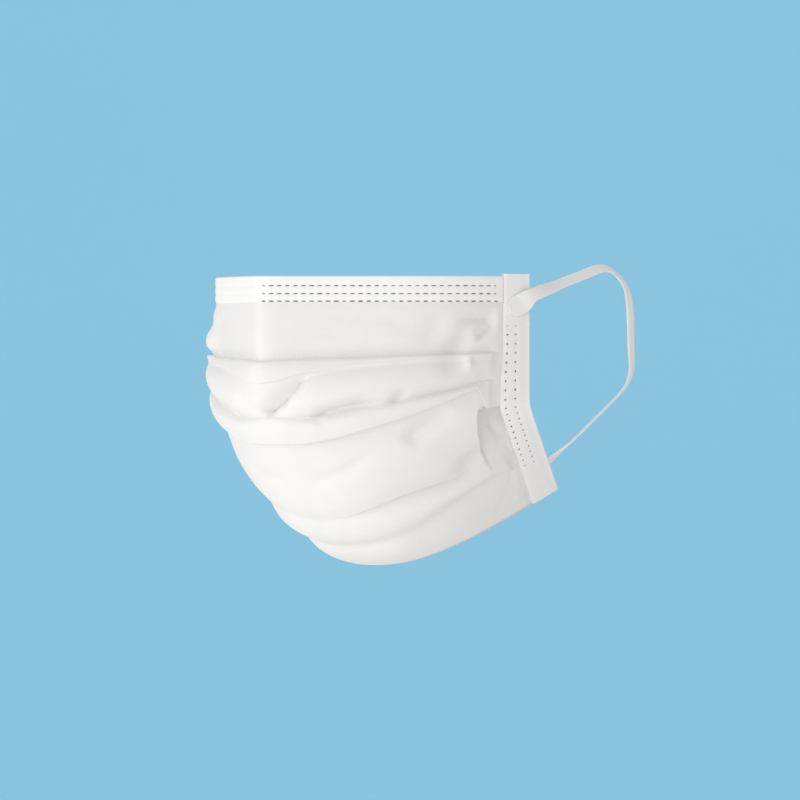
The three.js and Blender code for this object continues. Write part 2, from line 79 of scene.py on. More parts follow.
# Cloth: how deep it sinks under the strips, how far it stops inside their folds, and its pleats and panels
SEAT_DEPTH = 0.25 * MM
EDGE_INSET = 0.9 * MM
PLEAT_LIFT = 2.8 * MM
PANEL_PUFF = 3.2 * MM
LEDGE_SHARE = 0.55
CLOTH_COLUMNS = 225

# Folded strips: how far their front and back lie out from the worn form, the fold's radius, and how the free edge
# in front is thinned and sunk, so that it lies on the cloth
HEM_FRONT = 0.12 * MM
HEM_BACK = -0.95 * MM
HEM_RADIUS = 0.45 * MM
HEM_SINK = 0.24 * MM
HEM_COLUMNS = 620
BINDING_TOP = 0.3 * MM
BINDING_FRONT = 0.15 * MM
BINDING_BACK = -1.2 * MM
BINDING_RADIUS = 0.6 * MM
BINDING_SINK = 0.26 * MM
BINDING_FOLD_SINK = 0.12 * MM
BINDING_OVER_HEM = (0.09, 0.13)
BINDING_ROWS = 400
THIN_EDGE = 1.2 * MM
SUNK_EDGE = 1.5 * MM

# Welds: rows of dashes and columns of dots, as distances from the fold, and how far each line reaches
HEM_DASH_ROWS = (3.1 * MM, 5.6 * MM, 8.0 * MM)
HEM_DASH_REACH = 0.865
DOT_COLUMNS = (8.6 * MM, 5.3 * MM)
DOTS_FROM = 0.175
DOTS_TO = 0.79
WELD_DEPTH = 0.09 * MM
DASH_GROOVE = (0.45, 0.7 * MM)
DOT_GROOVE = (0.4, 0.9 * MM)
# The films in the pits: their thickness, and a dot's width as a share of its pit
FILM = 0.1 * MM
DOT_FILM = 0.65
# Beside the nose ridge on the right cheek the pressed dashes have no dark film.
FILM_GAP = (-0.6, -0.004)

# Control rows of the panel above each pleat, and whether the pleat stands out from it with a ledge
PANEL_STEPS = {"nose": (9, True), "mouth": (9, True), "chin": (18, False), "jaw": (9, False)}
# Where the valley above a ledge begins, as a share of its panel.
VALLEY_FROM = {"nose": 0.82, "mouth": 0.6}

# Ear loops
LOOP_REACH = 40 * MM
RIGHT_SAG = 3.5 * MM
LOOP_SEAT_THICKNESS = 1 * MM
PAD_WIDTH = 7 * MM
PAD_LENGTH = 7.4 * MM
PAD_OUT = 0.56 * MM
TUCKED_OUT = -1.75 * MM
UPPER_END = 0.1
LOWER_END = 0.885
LOOP_SECTIONS = 420
LOOP_RIBS = 5
BAND_POINTS = 21

FRONT_LENGTH = math.hypot(FRONT_DROP, FRONT_BACK) * 1.085
HALF_WIDTH = math.hypot(HALF_SPAN, SIDE_BACK) * 1.02

# The profile down the middle of the face, as shares of FRONT_BACK and FRONT_DROP.
PROFILE = {
    "at": (0, 0.12, 0.25, 0.36, 0.48, 0.6, 0.74, 0.88, 1),
    "back": (0, 0, 0, 0.045, 0.175, 0.345, 0.54, 0.787, 1),
    "drop": (0, 0.15, 0.318, 0.455, 0.58, 0.69, 0.828, 0.937, 1),
}

# How each height bends from the middle to a side edge, in degrees and in shares of the straight distance.
BENDS = {
    "at": (0, 0.22, 0.34, 0.48, 0.62, 0.8, 1),
    "nose_turn": (53.5, 54, 74, 79, 87, 90, 90),
    "nose_run": (0.52, 0.52, 0.38, 0.32, 0.335, 0.38, 0.39),
    "ear_turn": (19, 19, 20, 20, 18, 17, 16),
    "ear_run": (0.38, 0.38, 0.3, 0.28, 0.3, 0.3, 0.3),
    "ear_rise": (0, 0, 0, 0.05, 0.2, 0.31, 0.42),
}

# The pleats from the top: crest and lip are heights, lift is a share of PLEAT_LIFT, tuck and valley of lift. Only
# a pleat with a ledge has a valley above it.
PLEATS = {
    "nose": {
        "at": (0, 0.05, 0.13, 0.3, 0.45, 0.77, 1),
        "crest": (0.23, 0.228, 0.226, 0.232, 0.241, 0.262, 0.274),
        "lip": (0.288, 0.284, 0.268, 0.26, 0.264, 0.278, 0.286),
        "lift": (0.57, 0.57, 0.57, 0.61, 0.61, 0.5, 0.25),
        "tuck": (0.5, 0.5, 0.45, 0.25, 0.04, 0.02, 0),
        "valley": (0.5, 0.7, 0.9, 0.9, 0.85, 0.8, 0.2),
    },
    "mouth": {
        "at": (0, 0.1, 0.2, 0.35, 0.5, 0.65, 0.77, 0.79, 0.81, 0.87, 1),
        "crest": (0.386, 0.394, 0.4, 0.389, 0.384, 0.378, 0.368, 0.362, 0.36, 0.36, 0.37),
        "lip": (0.468, 0.468, 0.462, 0.446, 0.429, 0.406, 0.384, 0.41, 0.452, 0.466, 0.47),
        "lift": (0.71, 0.79, 0.93, 1, 1, 0.93, 0.79, 0.6, 0.45, 0.4, 0.3),
        "tuck": (0.6, 0.7, 0.8, 0.85, 0.9, 0.9, 0.85, 0.9, 1, 1, 0.86),
        "valley": (0, 0.14, 0.4, 0.3, 0.15, 0.1, 0, 0, 0, 0, 0),
    },
    "chin": {
        "at": (0, 0.1, 0.2, 0.3, 0.4, 0.52, 0.6, 0.72, 0.89, 1),
        "crest": (0.69, 0.69, 0.68, 0.67, 0.66, 0.66, 0.67, 0.66, 0.64, 0.64),
        "lip": (0.75, 0.745, 0.73, 0.716, 0.706, 0.703, 0.71, 0.7, 0.68, 0.68),
        "lift": (0.08, 0.2, 0.4, 0.55, 0.62, 0.62, 0.45, 0.12, 0.05, 0.05),
        "tuck": (0.4, 0.7, 1.1, 1.3, 1.5, 1.5, 1, 0.3, 0.1, 0.1),
    },
    "jaw": {
        "at": (0, 0.15, 0.24, 0.3, 0.38, 0.48, 0.62, 0.76, 0.89, 1),
        "crest": (0.83, 0.825, 0.81, 0.8, 0.785, 0.765, 0.745, 0.735, 0.77, 0.8),
        "lip": (0.872, 0.864, 0.854, 0.845, 0.832, 0.81, 0.785, 0.768, 0.806, 0.84),
        "lift": (0.02, 0.05, 0.2, 0.32, 0.45, 0.45, 0.46, 0.39, 0.25, 0.1),
        "tuck": (0, 0.1, 0.8, 1.4, 1.8, 1.7, 1.85, 1.5, 0.6, 0.2),
    },
}

# How far each panel swells between its pleats, from the top down, as shares of PANEL_PUFF.
PUFFS = {
    "at": (0, 0.3, 0.55, 0.7, 0.83, 1),
    "nose": (0, 0, 0, 0, 0, 0),
    "mouth": (0.31, 0.38, 0.43, 0.47, 0.12, 0),
    "chin": (0.32, 0.4, 0.5, 0.55, 0.3, 0),
    "jaw": (0.25, 0.42, 0.46, 0.34, 0.19, 0),
    "bottom": (0.2, 0.4, 0.36, 0.22, 0.06, 0),
}
# How much a panel's puff grows from its top to its foot. At 0 it is fullest in the middle.
PUFF_SAG = {"nose": 0, "mouth": 0, "chin": 1.4, "jaw": 0.6}

# Dents of the wearer's left cheek: across, down, half length and half width as shares of FRONT_LENGTH, turn in
# degrees towards the ear, depth as a share of PLEAT_LIFT. A negative place is on the right cheek alone, and the
# right cheek has the others at its own share of their depth.
DENTS = (
    (0.085, 0.34, 0.081, 0.029, 42, 0.4),
    (0.49, 0.355, 0.021, 0.014, 30, 0.2),
    (0.745, 0.65, 0.06, 0.038, 35, 0.5),
    (0.86, 0.60, 0.03, 0.09, 0, 0.5),
    (0.81, 0.145, 0.06, 0.018, 4, 0.75),
    (0.71, 0.225, 0.065, 0.038, 50, 0.6),
    (0.6, 0.17, 0.05, 0.05, 60, 0.3),
    (0.69, 0.3, 0.043, 0.034, 10, 0.5),
    (0.14, 0.6, 0.06, 0.024, 15, 0.22),
    (0.27, 0.57, 0.08, 0.022, 28, 0.2),
    (0.67, 0.665, 0.055, 0.035, 55, 0.6),
    (0.745, 0.292, 0.014, 0.02, 0, -0.35),
    (-0.61, 0.19, 0.08, 0.032, 0, -1.1),
    (-0.61, 0.23, 0.08, 0.028, 0, -1.0),
    (-0.62, 0.125, 0.08, 0.04, 0, -0.35),
)
RIGHT_CHEEK = 0.5

# Folds with one sharp side: from and to (across, down), then in millimetres the soft side's width, the sharp
# side's width, the depth and the bow to the right, how the depth fades at either end, whether pleats' own folds
# keep clear of it, and the other cheek's share. The sharp side lies on the right of the way from the first place.
FOLDS = (
    (0.0, 0.388, 0.14, 0.266, 6.2, 1.0, 3.4, 2.0, 0.04, 0.04, True, 0),
    (0.195, 0.412, 0.262, 0.366, 4.5, 3.0, 1.8, 0, 0.1, 0.3, True, 0.3),
    (0.24, 0.384, 0.43, 0.374, 5.0, 3.0, 2.4, 0, 0.15, 0.5, True, 0.3),
    (0.46, 0.392, 0.515, 0.345, 2.6, 2.6, 1.1, 0, 0.2, 0.4, True, 0.3),
    (0.475, 0.528, 0.673, 0.43, 4.6, 6.0, 1.9, 0, 0.2, 0.3, True, 0.3),
    (0.785, 0.222, 0.915, 0.145, 5.0, 1.6, 2.2, 0, 0.25, 0.2, False, 0.4),
    (0.80, 0.575, 0.885, 0.68, 2.4, 1.0, 1.0, 0, 0.3, 0.3, True, 0.4),
)

# Fine creases: from and to (across, down), half width and depth in millimetres.
CREASES = (
    (0.93, 0.165, 0.74, 0.145, 1.3, 0.22),
    (0.93, 0.72, 0.79, 0.82, 0.9, 0.4),
    (0.90, 0.77, 0.72, 0.88, 0.8, 0.4),
    (0.86, 0.83, 0.66, 0.93, 0.8, 0.36),
    (0.82, 0.87, 0.64, 0.96, 0.8, 0.34),
    (0.80, 0.90, 0.70, 0.97, 0.7, 0.28),
    (0.30, 0.10, 0.62, 0.20, 2.6, 0.3),
    (0.04, 0.115, 0.55, 0.13, 1.2, 0.2),
    (0.04, 0.165, 0.60, 0.18, 1.4, 0.22),
    (0.04, 0.20, 0.50, 0.215, 1.2, 0.18),
)

# The hollow below the closed pleats, beside the binding: its sharp edge towards the nose as (across, down) pairs,
# where it fades towards the binding, its upper lip, where it fades out below, its depth in millimetres and the
# right cheek's share of it.
HOLLOW_EDGE = ((0.785, 0.36), (0.785, 0.41), (0.747, 0.54), (0.735, 0.66))
HOLLOW_BACK = (0.855, 0.895)
HOLLOW_TOP = 0.458
HOLLOW_FADE = (0.56, 0.76)
HOLLOW_DEPTH = 6.5
RIGHT_HOLLOW = 0.8

# The free run of an ear loop: along is a share of the line between its ends, rise and out of LOOP_REACH, and
# turn is how the band's flat side lies, in degrees away from facing sideways.
LOOP_RUN = (
    (0.052, 0.352, 0.02, -58),
    (0.082, 0.627, 0.07, -60),
    (0.1, 0.798, 0.105, -60),
    (0.123, 0.873, 0.13, -55),
    (0.181, 0.95, 0.155, -44),
    (0.243, 0.995, 0.19, -32),
    (0.335, 1.02, 0.21, -12),
    (0.438, 0.99, 0.235, -8),
    (0.568, 0.936, 0.26, -10),
    (0.694, 0.874, 0.29, -20),
    (0.75, 0.797, 0.29, -36),
    (0.786, 0.666, 0.27, -52),
    (0.84, 0.44, 0.21, -58),
    (0.91, 0.19, 0.13, -56),
)

# Camera, set from the photograph's view: degrees to the wearer's left of straight in front, then metres
VIEW_AZIMUTH = 39
VIEW_DISTANCE = 4.0
VIEW_WIDTH = 0.252
VIEW_TARGET = (0.03427, 0.02775, -0.0391)
SENSOR = 36

# Floor and backdrop, in metres behind the mask, to each side and up
FLOOR_Z = -0.62
SWEEP_FRONT, SWEEP_BACK = -6.5, 5.4
SWEEP_HALF_WIDTH, SWEEP_HEIGHT, SWEEP_RADIUS = 6.0, 3.6, 0.25

# Lamps: where each stands and what it faces, as (to the right, towards the camera, up) from the mask's middle,
# then its size and its power
LAMPS = (
    ("key", (-1.25, 0.5, 0.15), (0, 0, 0), 0.8, 6.8),
    ("fill", (0, 1.3, -0.05), (0, 0, 0), 1.2, 3.5),
    ("low", (-0.1, 0.45, -0.13), (-0.1, 0.45, 1), 0.9, 0.8),
    ("behind", (0, -2.4, 0.5), (0, -5.4, 0), 2.0, 21.5),
)
# The even light from all round
SKY = 0.59


def smooth(start, end, value):
    """0 before start, 1 past end, and a soft step between them."""
    share = np.clip((value - start) / (end - start), 0, 1)
    return share * share * (3 - 2 * share)


def unit(vectors):
    return vectors / np.linalg.norm(vectors, axis=-1, keepdims=True)


def along(table, column, where):
    """The smooth curve through one column of a table, kept flat at each high or low value."""
    at, value = np.array(table["at"], float), np.array(table[column], float)
    rate = np.diff(value) / np.diff(at)
    slope = np.concatenate([rate[:1], np.zeros(len(rate) - 1), rate[-1:]])
    same = rate[:-1] * rate[1:] > 0
    both = np.where(same, rate[:-1] + rate[1:], 1)
    slope[1:-1] = np.where(same, 2 * rate[:-1] * rate[1:] / both, 0)
    where = np.asarray(where, float)
    row = np.clip(np.searchsorted(at, where, side="right") - 1, 0, len(at) - 2)
    length = at[row + 1] - at[row]
    u = (where - at[row]) / length
    start = (2 * u**3 - 3 * u**2 + 1) * value[row] + (u**3 - 2 * u**2 + u) * slope[row] * length
    end = (3 * u**2 - 2 * u**3) * value[row + 1] + (u**3 - u**2) * slope[row + 1] * length
    return start + end


def side_edge(down):
    """The side edge of the wearer's left: upright beside the cheek, then back and in along the jaw."""
    run = SIDE_UPRIGHT + SIDE_JAW
    past = down - SIDE_UPRIGHT / run
    jaw = 0.5 * (past + np.hypot(past, KINK_ROUNDING)) * run
    upright = down * run - jaw
    return np.stack([HALF_SPAN - JAW_IN * jaw, SIDE_BACK + JAW_BACK * jaw, -upright - JAW_DOWN * jaw], -1)


def form(across, down):
    """The smooth worn form, without pleats."""
    across, down = np.broadcast_arrays(np.asarray(across, float), np.asarray(down, float))
    level = np.zeros_like(down)
    back, drop = along(PROFILE, "back", down) * FRONT_BACK, along(PROFILE, "drop", down) * FRONT_DROP
    middle = np.stack([level, back, -drop], -1)
    edge = side_edge(down)
    reach = np.linalg.norm(edge - middle, axis=-1)
    nose_turn, ear_turn = (np.radians(along(BENDS, name, down)) for name in ("nose_turn", "ear_turn"))
    rise = along(BENDS, "ear_rise", down)
    flat = np.sqrt(1 - rise**2)
    leaving = np.stack([np.sin(nose_turn), np.cos(nose_turn), level], -1)
    arriving = np.stack([np.sin(ear_turn) * flat, np.cos(ear_turn) * flat, rise], -1)
    second = middle + (along(BENDS, "nose_run", down) * reach)[..., None] * leaving
    third = edge - (along(BENDS, "ear_run", down) * reach)[..., None] * arriving

    def bend(u):
        u = u[..., None]
        v = 1 - u
        return v**3 * middle + 3 * v**2 * u * second + 3 * v * u**2 * third + u**3 * edge

    share = np.abs(across)
    blunt = (np.hypot(share, RIDGE_ROUNDING) - RIDGE_ROUNDING) / (math.hypot(1, RIDGE_ROUNDING) - RIDGE_ROUNDING)
    point = bend(blunt)
    point[..., 0] = np.sign(across) * bend(share)[..., 0]
    return point


def outward(across, down):
    """Which way the worn form faces."""
    step = 0.001
    sideways = form(across + step, down) - form(across - step, down)
    downwards = form(across, down + step) - form(across, down - step)
    return unit(np.cross(downwards, sideways))


def place(across, down, out):
    return form(across, down) + outward(across, down) * np.asarray(out, float)[..., None]


NEAR_EDGE = 0.04


def share_across(length, down):
    """A length in from a side edge, as a share across."""
    return length * NEAR_EDGE / np.linalg.norm(form(1.0, down) - form(1 - NEAR_EDGE, down), axis=-1)


def share_down(length, across):
    """A length down from the top edge, as a share down."""
    return length * NEAR_EDGE / np.linalg.norm(form(across, NEAR_EDGE) - form(across, 0.0), axis=-1)


# Cloth
def pressed(across, down):
    """Pleats are pressed flat under the hem and under the bindings."""
    hem = share_down(HEM_HEIGHT + GAP, across)
    binding = 1 - share_across(BINDING_WIDTH, down)
    sides = 1 - smooth(binding - 0.05, binding - 0.01, np.abs(across))
    return sides * smooth(hem + 0.004, hem + 0.04, down)


def covered(across, down):
    """The cloth sinks under the hem and the bindings, and rises beside their free edges."""
    hem, binding = share_down(HEM_HEIGHT + 0.7 * MM, across), 1 - share_across(BINDING_WIDTH, down)
    beside, below = share_across(EDGE_INSET, down), share_down(EDGE_INSET, across)
    return np.maximum(1 - smooth(hem, hem + below, down), smooth(binding - beside, binding, np.abs(across)))


def dent_depth(across, down):
    """Soft dents with an oval outline."""
    depth = np.zeros(np.broadcast(across, down).shape)
    for middle, height, long, wide, turn, deep in DENTS:
        for side, share in ((1, 1), (-1, RIGHT_CHEEK)) if middle > 0 else ((1, 1),):
            x = (side * across - middle) * HALF_WIDTH
            y = (height - down) * FRONT_LENGTH
            cos, sin = math.cos(math.radians(turn)), math.sin(math.radians(turn))
            u = (x * cos + y * sin) / (long * FRONT_LENGTH)
            v = (y * cos - x * sin) / (wide * FRONT_LENGTH)
            square = u * u + v * v
            fade = np.clip(1 - square / 4, 0, 1) ** 2
            depth += share * deep * PLEAT_LIFT * fade * np.exp(-0.6 * square)
    return depth


def line_places(across, down, start, end):
    """How far along a line a place lies, as a share, and how far to its right, in metres."""
    start, end = (np.array([p[0] * HALF_WIDTH, p[1] * FRONT_LENGTH]) for p in (start, end))
    run = end - start
    length = np.linalg.norm(run)
    run = run / length
    x, y = across * HALF_WIDTH - start[0], down * FRONT_LENGTH - start[1]
    return (x * run[0] + y * run[1]) / length, y * run[0] - x * run[1]


def crease_depth(across, down):
    """Narrow creases, deepest in their middle and fading to their ends."""
    depth = np.zeros(np.broadcast(across, down).shape)
    for start_across, start_down, end_across, end_down, wide, deep in CREASES:
        for side, share in ((1, 1), (-1, 0.8)):
            on, off = line_places(side * across, down, (start_across, start_down), (end_across, end_down))
            fade = np.clip(4 * on * (1 - on), 0, 1)
            depth += share * deep * MM * fade * np.exp(-((off / (wide * MM)) ** 2))
    return depth


def fold_depth(across, down, free):
    """Folds that sink slowly from one side and come back sharply on the other."""
    depth = np.zeros(np.broadcast(across, down).shape)
    for ax, ad, bx, bd, soft, sharp, deep, bow, fade_start, fade_end, own_panel, other in FOLDS:
        for side, share in ((1, 1), (-1, other)) if other else ((1, 1),):
            on, right = line_places(side * across, down, (ax, ad), (bx, bd))
            right = right - bow * MM * np.clip(4 * on * (1 - on), 0, 1)
            ramp = np.clip(1 + right / (soft * MM), 0, 1) ** 1.2
            shape = ramp * (1 - smooth(0, sharp * MM, right))
            ends = smooth(-0.02, fade_start, on) * (1 - smooth(1 - fade_end, 1.02, on))
            depth += share * deep * MM * shape * ends * (free if own_panel else 1)
    return depth


def hollow_depth(across, down):
    """The hollow beside the binding, under the closed pleats."""
    where = np.abs(across)
    edge = np.interp(down, [p[1] for p in HOLLOW_EDGE], [p[0] for p in HOLLOW_EDGE])
    inner = smooth(edge, edge + 0.014, where) * (1 - smooth(*HOLLOW_BACK, where))
    below = smooth(HOLLOW_TOP, HOLLOW_TOP + 0.01, down) * (1 - smooth(*HOLLOW_FADE, down))
    return HOLLOW_DEPTH * MM * inner * below * np.where(across > 0, 1, RIGHT_HOLLOW)


def cloth_rows(across):
    """The cloth's outer face down each column, as control rows of a smooth curve.

    Gives heights, how far out they are, and how much each row belongs to the free cloth of its panel.
    """
    where = np.abs(across)
    downs, outs, free = [], [], []

    def row(down, out, loose=0.0):
        downs.append(down + 0 * where)
        outs.append(out + 0 * where)
        free.append(loose + 0 * where)

    last_down, last_out = share_down(0.8 * MM, across), 0 * where
    row(last_down, last_out, 1)
    for name, pleat in PLEATS.items():
        crest, lip, lift, tuck = (along(pleat, column, where) for column in ("crest", "lip", "lift", "tuck"))
        lift = lift * PLEAT_LIFT
        tuck = tuck * lift
        puff = along(PUFFS, name, where) * PANEL_PUFF
        steps, ledge = PANEL_STEPS[name]
        valley = along(pleat, "valley", where) * lift if ledge else 0
        foot, foot_out = (crest, -valley) if ledge else (lip - 0.006, lift)
        shares = [i / steps for i in range(1, steps + 1)]
        if ledge:
            shares = shares[:-1] + [0.92, 0.95, 0.975, 1.0]
        for u in shares:
            fall = u * u * (3 - 2 * u)
            sink = smooth(VALLEY_FROM[name], 1, u) if ledge else fall
            swell = puff * 4 * u * (1 - u) * (1 + PUFF_SAG[name] * (u - 0.5))
            row(last_down + (foot - last_down) * u, last_out * (1 - fall) + foot_out * sink + swell, 1)
        if ledge:
            band = lip - 0.004 - crest
            row(crest + 0.0005, -valley * 0.6 + lift * 0.1, 0.8)
            for u in (0.0, 0.12, 0.28, 0.48, 0.74, 1.0):
                turn = math.sqrt(1 - (1 - u) ** 2)
                row(crest + 0.001 + band * LEDGE_SHARE * u, lift * (0.25 + 0.75 * turn), 0.6 * (1 - u) ** 2)
            for u in (0.7, 0.85):
                row(crest + band * u, lift)
        fold = np.clip(tuck / (1.5 * MM), 0, 1)
        hidden = np.minimum(0.012, (lip - crest) / 2) * fold - 0.006 * (1 - fold)
        row(lip - 0.003, lift)
        row(lip - 0.0005, lift - 0.06 * tuck)
        row(lip + 0.0005, lift - 0.35 * tuck)
        row(lip - 0.35 * hidden, lift - 0.7 * tuck)
        row(lip - hidden, lift - 0.86 * tuck)
        row(lip - hidden + 0.0003, lift - tuck)
        row(lip + 0.002 * fold + 0.0066 * (1 - fold), lift - tuck)
        last_down, last_out = lip + 0.008, lift - tuck
        row(last_down, last_out, 0.6)
    puff = along(PUFFS, "bottom", where) * PANEL_PUFF
    for i in range(1, 9):
        u = i / 8
        row(last_down + (1 - last_down) * u, last_out * (1 - u) + puff * 4 * u * (1 - u), 1)
    return np.array(downs), np.array(outs), np.array(free)


def rounded_rows(rows, per_row):
    """A smooth curve near the control rows, which turns every fold with a small radius."""
    first, last = 2 * rows[:1] - rows[1:2], 2 * rows[-1:] - rows[-2:-1]
    control = np.concatenate([first, rows, last])
    made = []
    for i in range(len(rows) - 1):
        for j in range(per_row):
            u = j / per_row
            weights = ((1 - u) ** 3, 3 * u**3 - 6 * u**2 + 4, -3 * u**3 + 3 * u**2 + 3 * u + 1, u**3)
            made.append(sum(w * control[i + k] for k, w in enumerate(weights)) / 6)
    made.append(rows[-1])
    return np.array(made)


def column_shares(count):
    """Where the cloth's columns lie across, closer together at the nose ridge and beside the hollows."""
    fine = np.linspace(-1, 1, 4001)
    near = np.abs(fine)
    weight = 1 + 1.2 * np.exp(-((near / 0.06) ** 2)) + 1.6 * np.exp(-(((near - 0.78) / 0.05) ** 2))
    run = np.concatenate([[0], np.cumsum((weight[1:] + weight[:-1]) / 2)])
    return np.interp(np.linspace(0, run[-1], count), run, fine)


def grid_normals(points):
    sideways, downwards = np.gradient(points, axis=0), np.gradient(points, axis=1)
    facing = np.cross(downwards, sideways)
    return facing / np.maximum(np.linalg.norm(facing, axis=-1, keepdims=True), 1e-12)


# Meshes
def linked(name, data):
    """A new object in the scene."""
    made = bpy.data.objects.new(name, data)
    bpy.context.scene.collection.objects.link(made)
    return made


def fresh(name, points, faces):
    mesh = bpy.data.meshes.new(name)
    mesh.from_pydata([tuple(p) for p in points], [], faces)
    mesh.validate()
    mesh.shade_smooth()
    return linked(name, mesh)


def turned_out(points, faces):
    """The same faces, all turned round if the closed shape they make is inside out."""
    triangles = np.array([(f[0], f[i], f[i + 1]) for f in faces for i in range(1, len(f) - 1)])
    a, b, c = (points[triangles[:, k]] for k in range(3))
    volume = np.einsum("ij,ij->i", a, np.cross(b, c)).sum()
    return faces if volume > 0 else [tuple(reversed(f)) for f in faces]


def lay_uv(mesh, places):
    """Writes the cloth's own coordinates, in metres, as a UV map."""
    layer = mesh.uv_layers.new(name="cloth")
    corners = np.empty(len(mesh.loops), dtype=np.int32)
    mesh.loops.foreach_get("vertex_index", corners)
    layer.data.foreach_set("uv", np.ascontiguousarray(places[corners], dtype=np.float32).ravel())


def shell(name, outer, inner, places):
    """A closed sheet between two grids of points, with its UV map."""
    columns, rows = outer.shape[:2]
    points = np.concatenate([outer.reshape(-1, 3), inner.reshape(-1, 3)])
    front = np.arange(columns * rows).reshape(columns, rows)
    back = front + columns * rows
    faces = []

    def quads(a, b, c, d):
        faces.extend(zip(a.ravel().tolist(), b.ravel().tolist(), c.ravel().tolist(), d.ravel().tolist()))

    quads(front[:-1, :-1], front[1:, :-1], front[1:, 1:], front[:-1, 1:])
    quads(back[:-1, :-1], back[:-1, 1:], back[1:, 1:], back[1:, :-1])
    quads(front[:-1, 0], back[:-1, 0], back[1:, 0], front[1:, 0])
    quads(front[:-1, -1], front[1:, -1], back[1:, -1], back[:-1, -1])
    quads(front[0, :-1], front[0, 1:], back[0, 1:], back[0, :-1])
    quads(front[-1, :-1], back[-1, :-1], back[-1, 1:], front[-1, 1:])
    piece = fresh(name, points, turned_out(points, faces))
    flat = places.reshape(-1, 2)
    lay_uv(piece.data, np.concatenate([flat, flat]))
    return piece


def tube(name, sections, places):
    """A closed band through equal closed sections, with its UV map."""
    count, sides = sections.shape[:2]
    points = sections.reshape(-1, 3)
    faces = []
    for i in range(count - 1):
        for j in range(sides):
            a, b = i * sides + j, i * sides + (j + 1) % sides
            faces.append((a, b, b + sides, a + sides))
    faces.append(tuple(reversed(range(sides))))
    faces.append(tuple(range((count - 1) * sides, count * sides)))
    piece = fresh(name, points, turned_out(points, faces))
    lay_uv(piece.data, places.reshape(-1, 2))
    return piece


# Material nodes
def add(tree, kind, inputs=None, **settings):
    node = tree.nodes.new(kind)
    for name, value in settings.items():
        setattr(node, name, value)
    for key, value in (inputs or {}).items():
        socket = node.inputs[key]
        if isinstance(value, bpy.types.NodeSocket):
            tree.links.new(value, socket)
        else:
            socket.default_value = value
    return node


def led(tree, kind, inputs=None, **settings):
    """A new node's first output."""
    return add(tree, kind, inputs, **settings).outputs[0]


def maths(tree, operation, *values):
    return led(tree, "ShaderNodeMath", dict(enumerate(values)), operation=operation)


def ranged(tree, value, low, high, to_low=0.0, to_high=1.0):
    inputs = {"Value": value, "From Min": low, "From Max": high, "To Min": to_low, "To Max": to_high}
    return led(tree, "ShaderNodeMapRange", inputs, interpolation_type="SMOOTHSTEP")


def noisy(tree, vector, scale, detail):
    return led(tree, "ShaderNodeTexNoise", {"Vector": vector, "Scale": scale, "Detail": detail})


def blended(tree, factor, low, high, socket):
    """Leads a mix of two colours to a socket."""
    mix = add(tree, "ShaderNodeMix", {"Factor": factor, "A": low, "B": high}, data_type="RGBA")
    tree.links.new(mix.outputs["Result"], socket)


def relief(tree, height, strength, distance, shader):
    bump = led(tree, "ShaderNodeBump", {"Height": height, "Strength": strength, "Distance": distance})
    tree.links.new(bump, shader.inputs["Normal"])


def shade(colour, strength):
    return tuple(min(1, strength * c) for c in colour) + (1,)


def new_material(name):
    material = bpy.data.materials.new(name)
    material.use_nodes = True
    return material, material.node_tree, material.node_tree.nodes["Principled BSDF"]


def pattern_group(name, sizes):
    """A node group that takes a place on the cloth and some sizes, and gives a pattern's height and tone."""
    group = bpy.data.node_groups.new(name, "ShaderNodeTree")
    group.interface.new_socket("Place", in_out="INPUT", socket_type="NodeSocketVector")
    for label, default in sizes.items():
        group.interface.new_socket(label, in_out="INPUT", socket_type="NodeSocketFloat").default_value = default
    for label in ("Height", "Tone"):
        group.interface.new_socket(label, in_out="OUTPUT", socket_type="NodeSocketFloat")
    return group, group.nodes.new("NodeGroupInput").outputs, group.nodes.new("NodeGroupOutput").inputs


def nonwoven_group():
    """Spun fibres, the diamond grid of bonding points and the uneven laydown of nonwoven cloth."""
    sizes = {"Bond Pitch": 0.0011, "Fibre Size": 0.0002, "Bond Depth": 0.15, "Cloud Size": 0.006}
    group, given, result = pattern_group("nonwoven", sizes)

    def calc(operation, *values):
        return maths(group, operation, *values)

    def cloudy(vector, size, detail):
        scale = calc("DIVIDE", 1.0, given[size])
        scaled = led(group, "ShaderNodeVectorMath", {0: vector, "Scale": scale}, operation="SCALE")
        return noisy(group, scaled, 1.0, detail)

    fibres = []
    for turn, stretch in ((0.45, 9.0), (-0.5, 7.0), (1.35, 8.0)):
        turned = led(
            group, "ShaderNodeVectorRotate", {"Vector": given["Place"], "Angle": turn}, rotation_type="Z_AXIS")
        drawn = led(group, "ShaderNodeVectorMath", {0: turned, 1: (1 / stretch, 1, 1)}, operation="MULTIPLY")
        fibres.append(ranged(group, cloudy(drawn, "Fibre Size", 1.5), 0.42, 0.7))
    fibre = calc("MAXIMUM", calc("MAXIMUM", fibres[0], fibres[1]), fibres[2])
    split = add(group, "ShaderNodeSeparateXYZ", {0: given["Place"]}).outputs
    turns = calc("DIVIDE", math.pi, given["Bond Pitch"])
    waves = [calc("SINE", calc("MULTIPLY", split[axis], turns)) for axis in (0, 1)]
    bond = ranged(group, calc("ABSOLUTE", calc("MULTIPLY", *waves)), 0.72, 0.9)
    cloud = cloudy(given["Place"], "Cloud Size", 3.0)
    raised = calc("ADD", calc("MULTIPLY", fibre, 0.5), calc("MULTIPLY", cloud, 0.3))
    group.links.new(calc("SUBTRACT", raised, calc("MULTIPLY", bond, given["Bond Depth"])), result["Height"])
    pale = calc("ADD", calc("MULTIPLY", fibre, 0.35), calc("MULTIPLY", cloud, 0.65))
    group.links.new(calc("SUBTRACT", pale, calc("MULTIPLY", bond, 0.25)), result["Tone"])
    return group


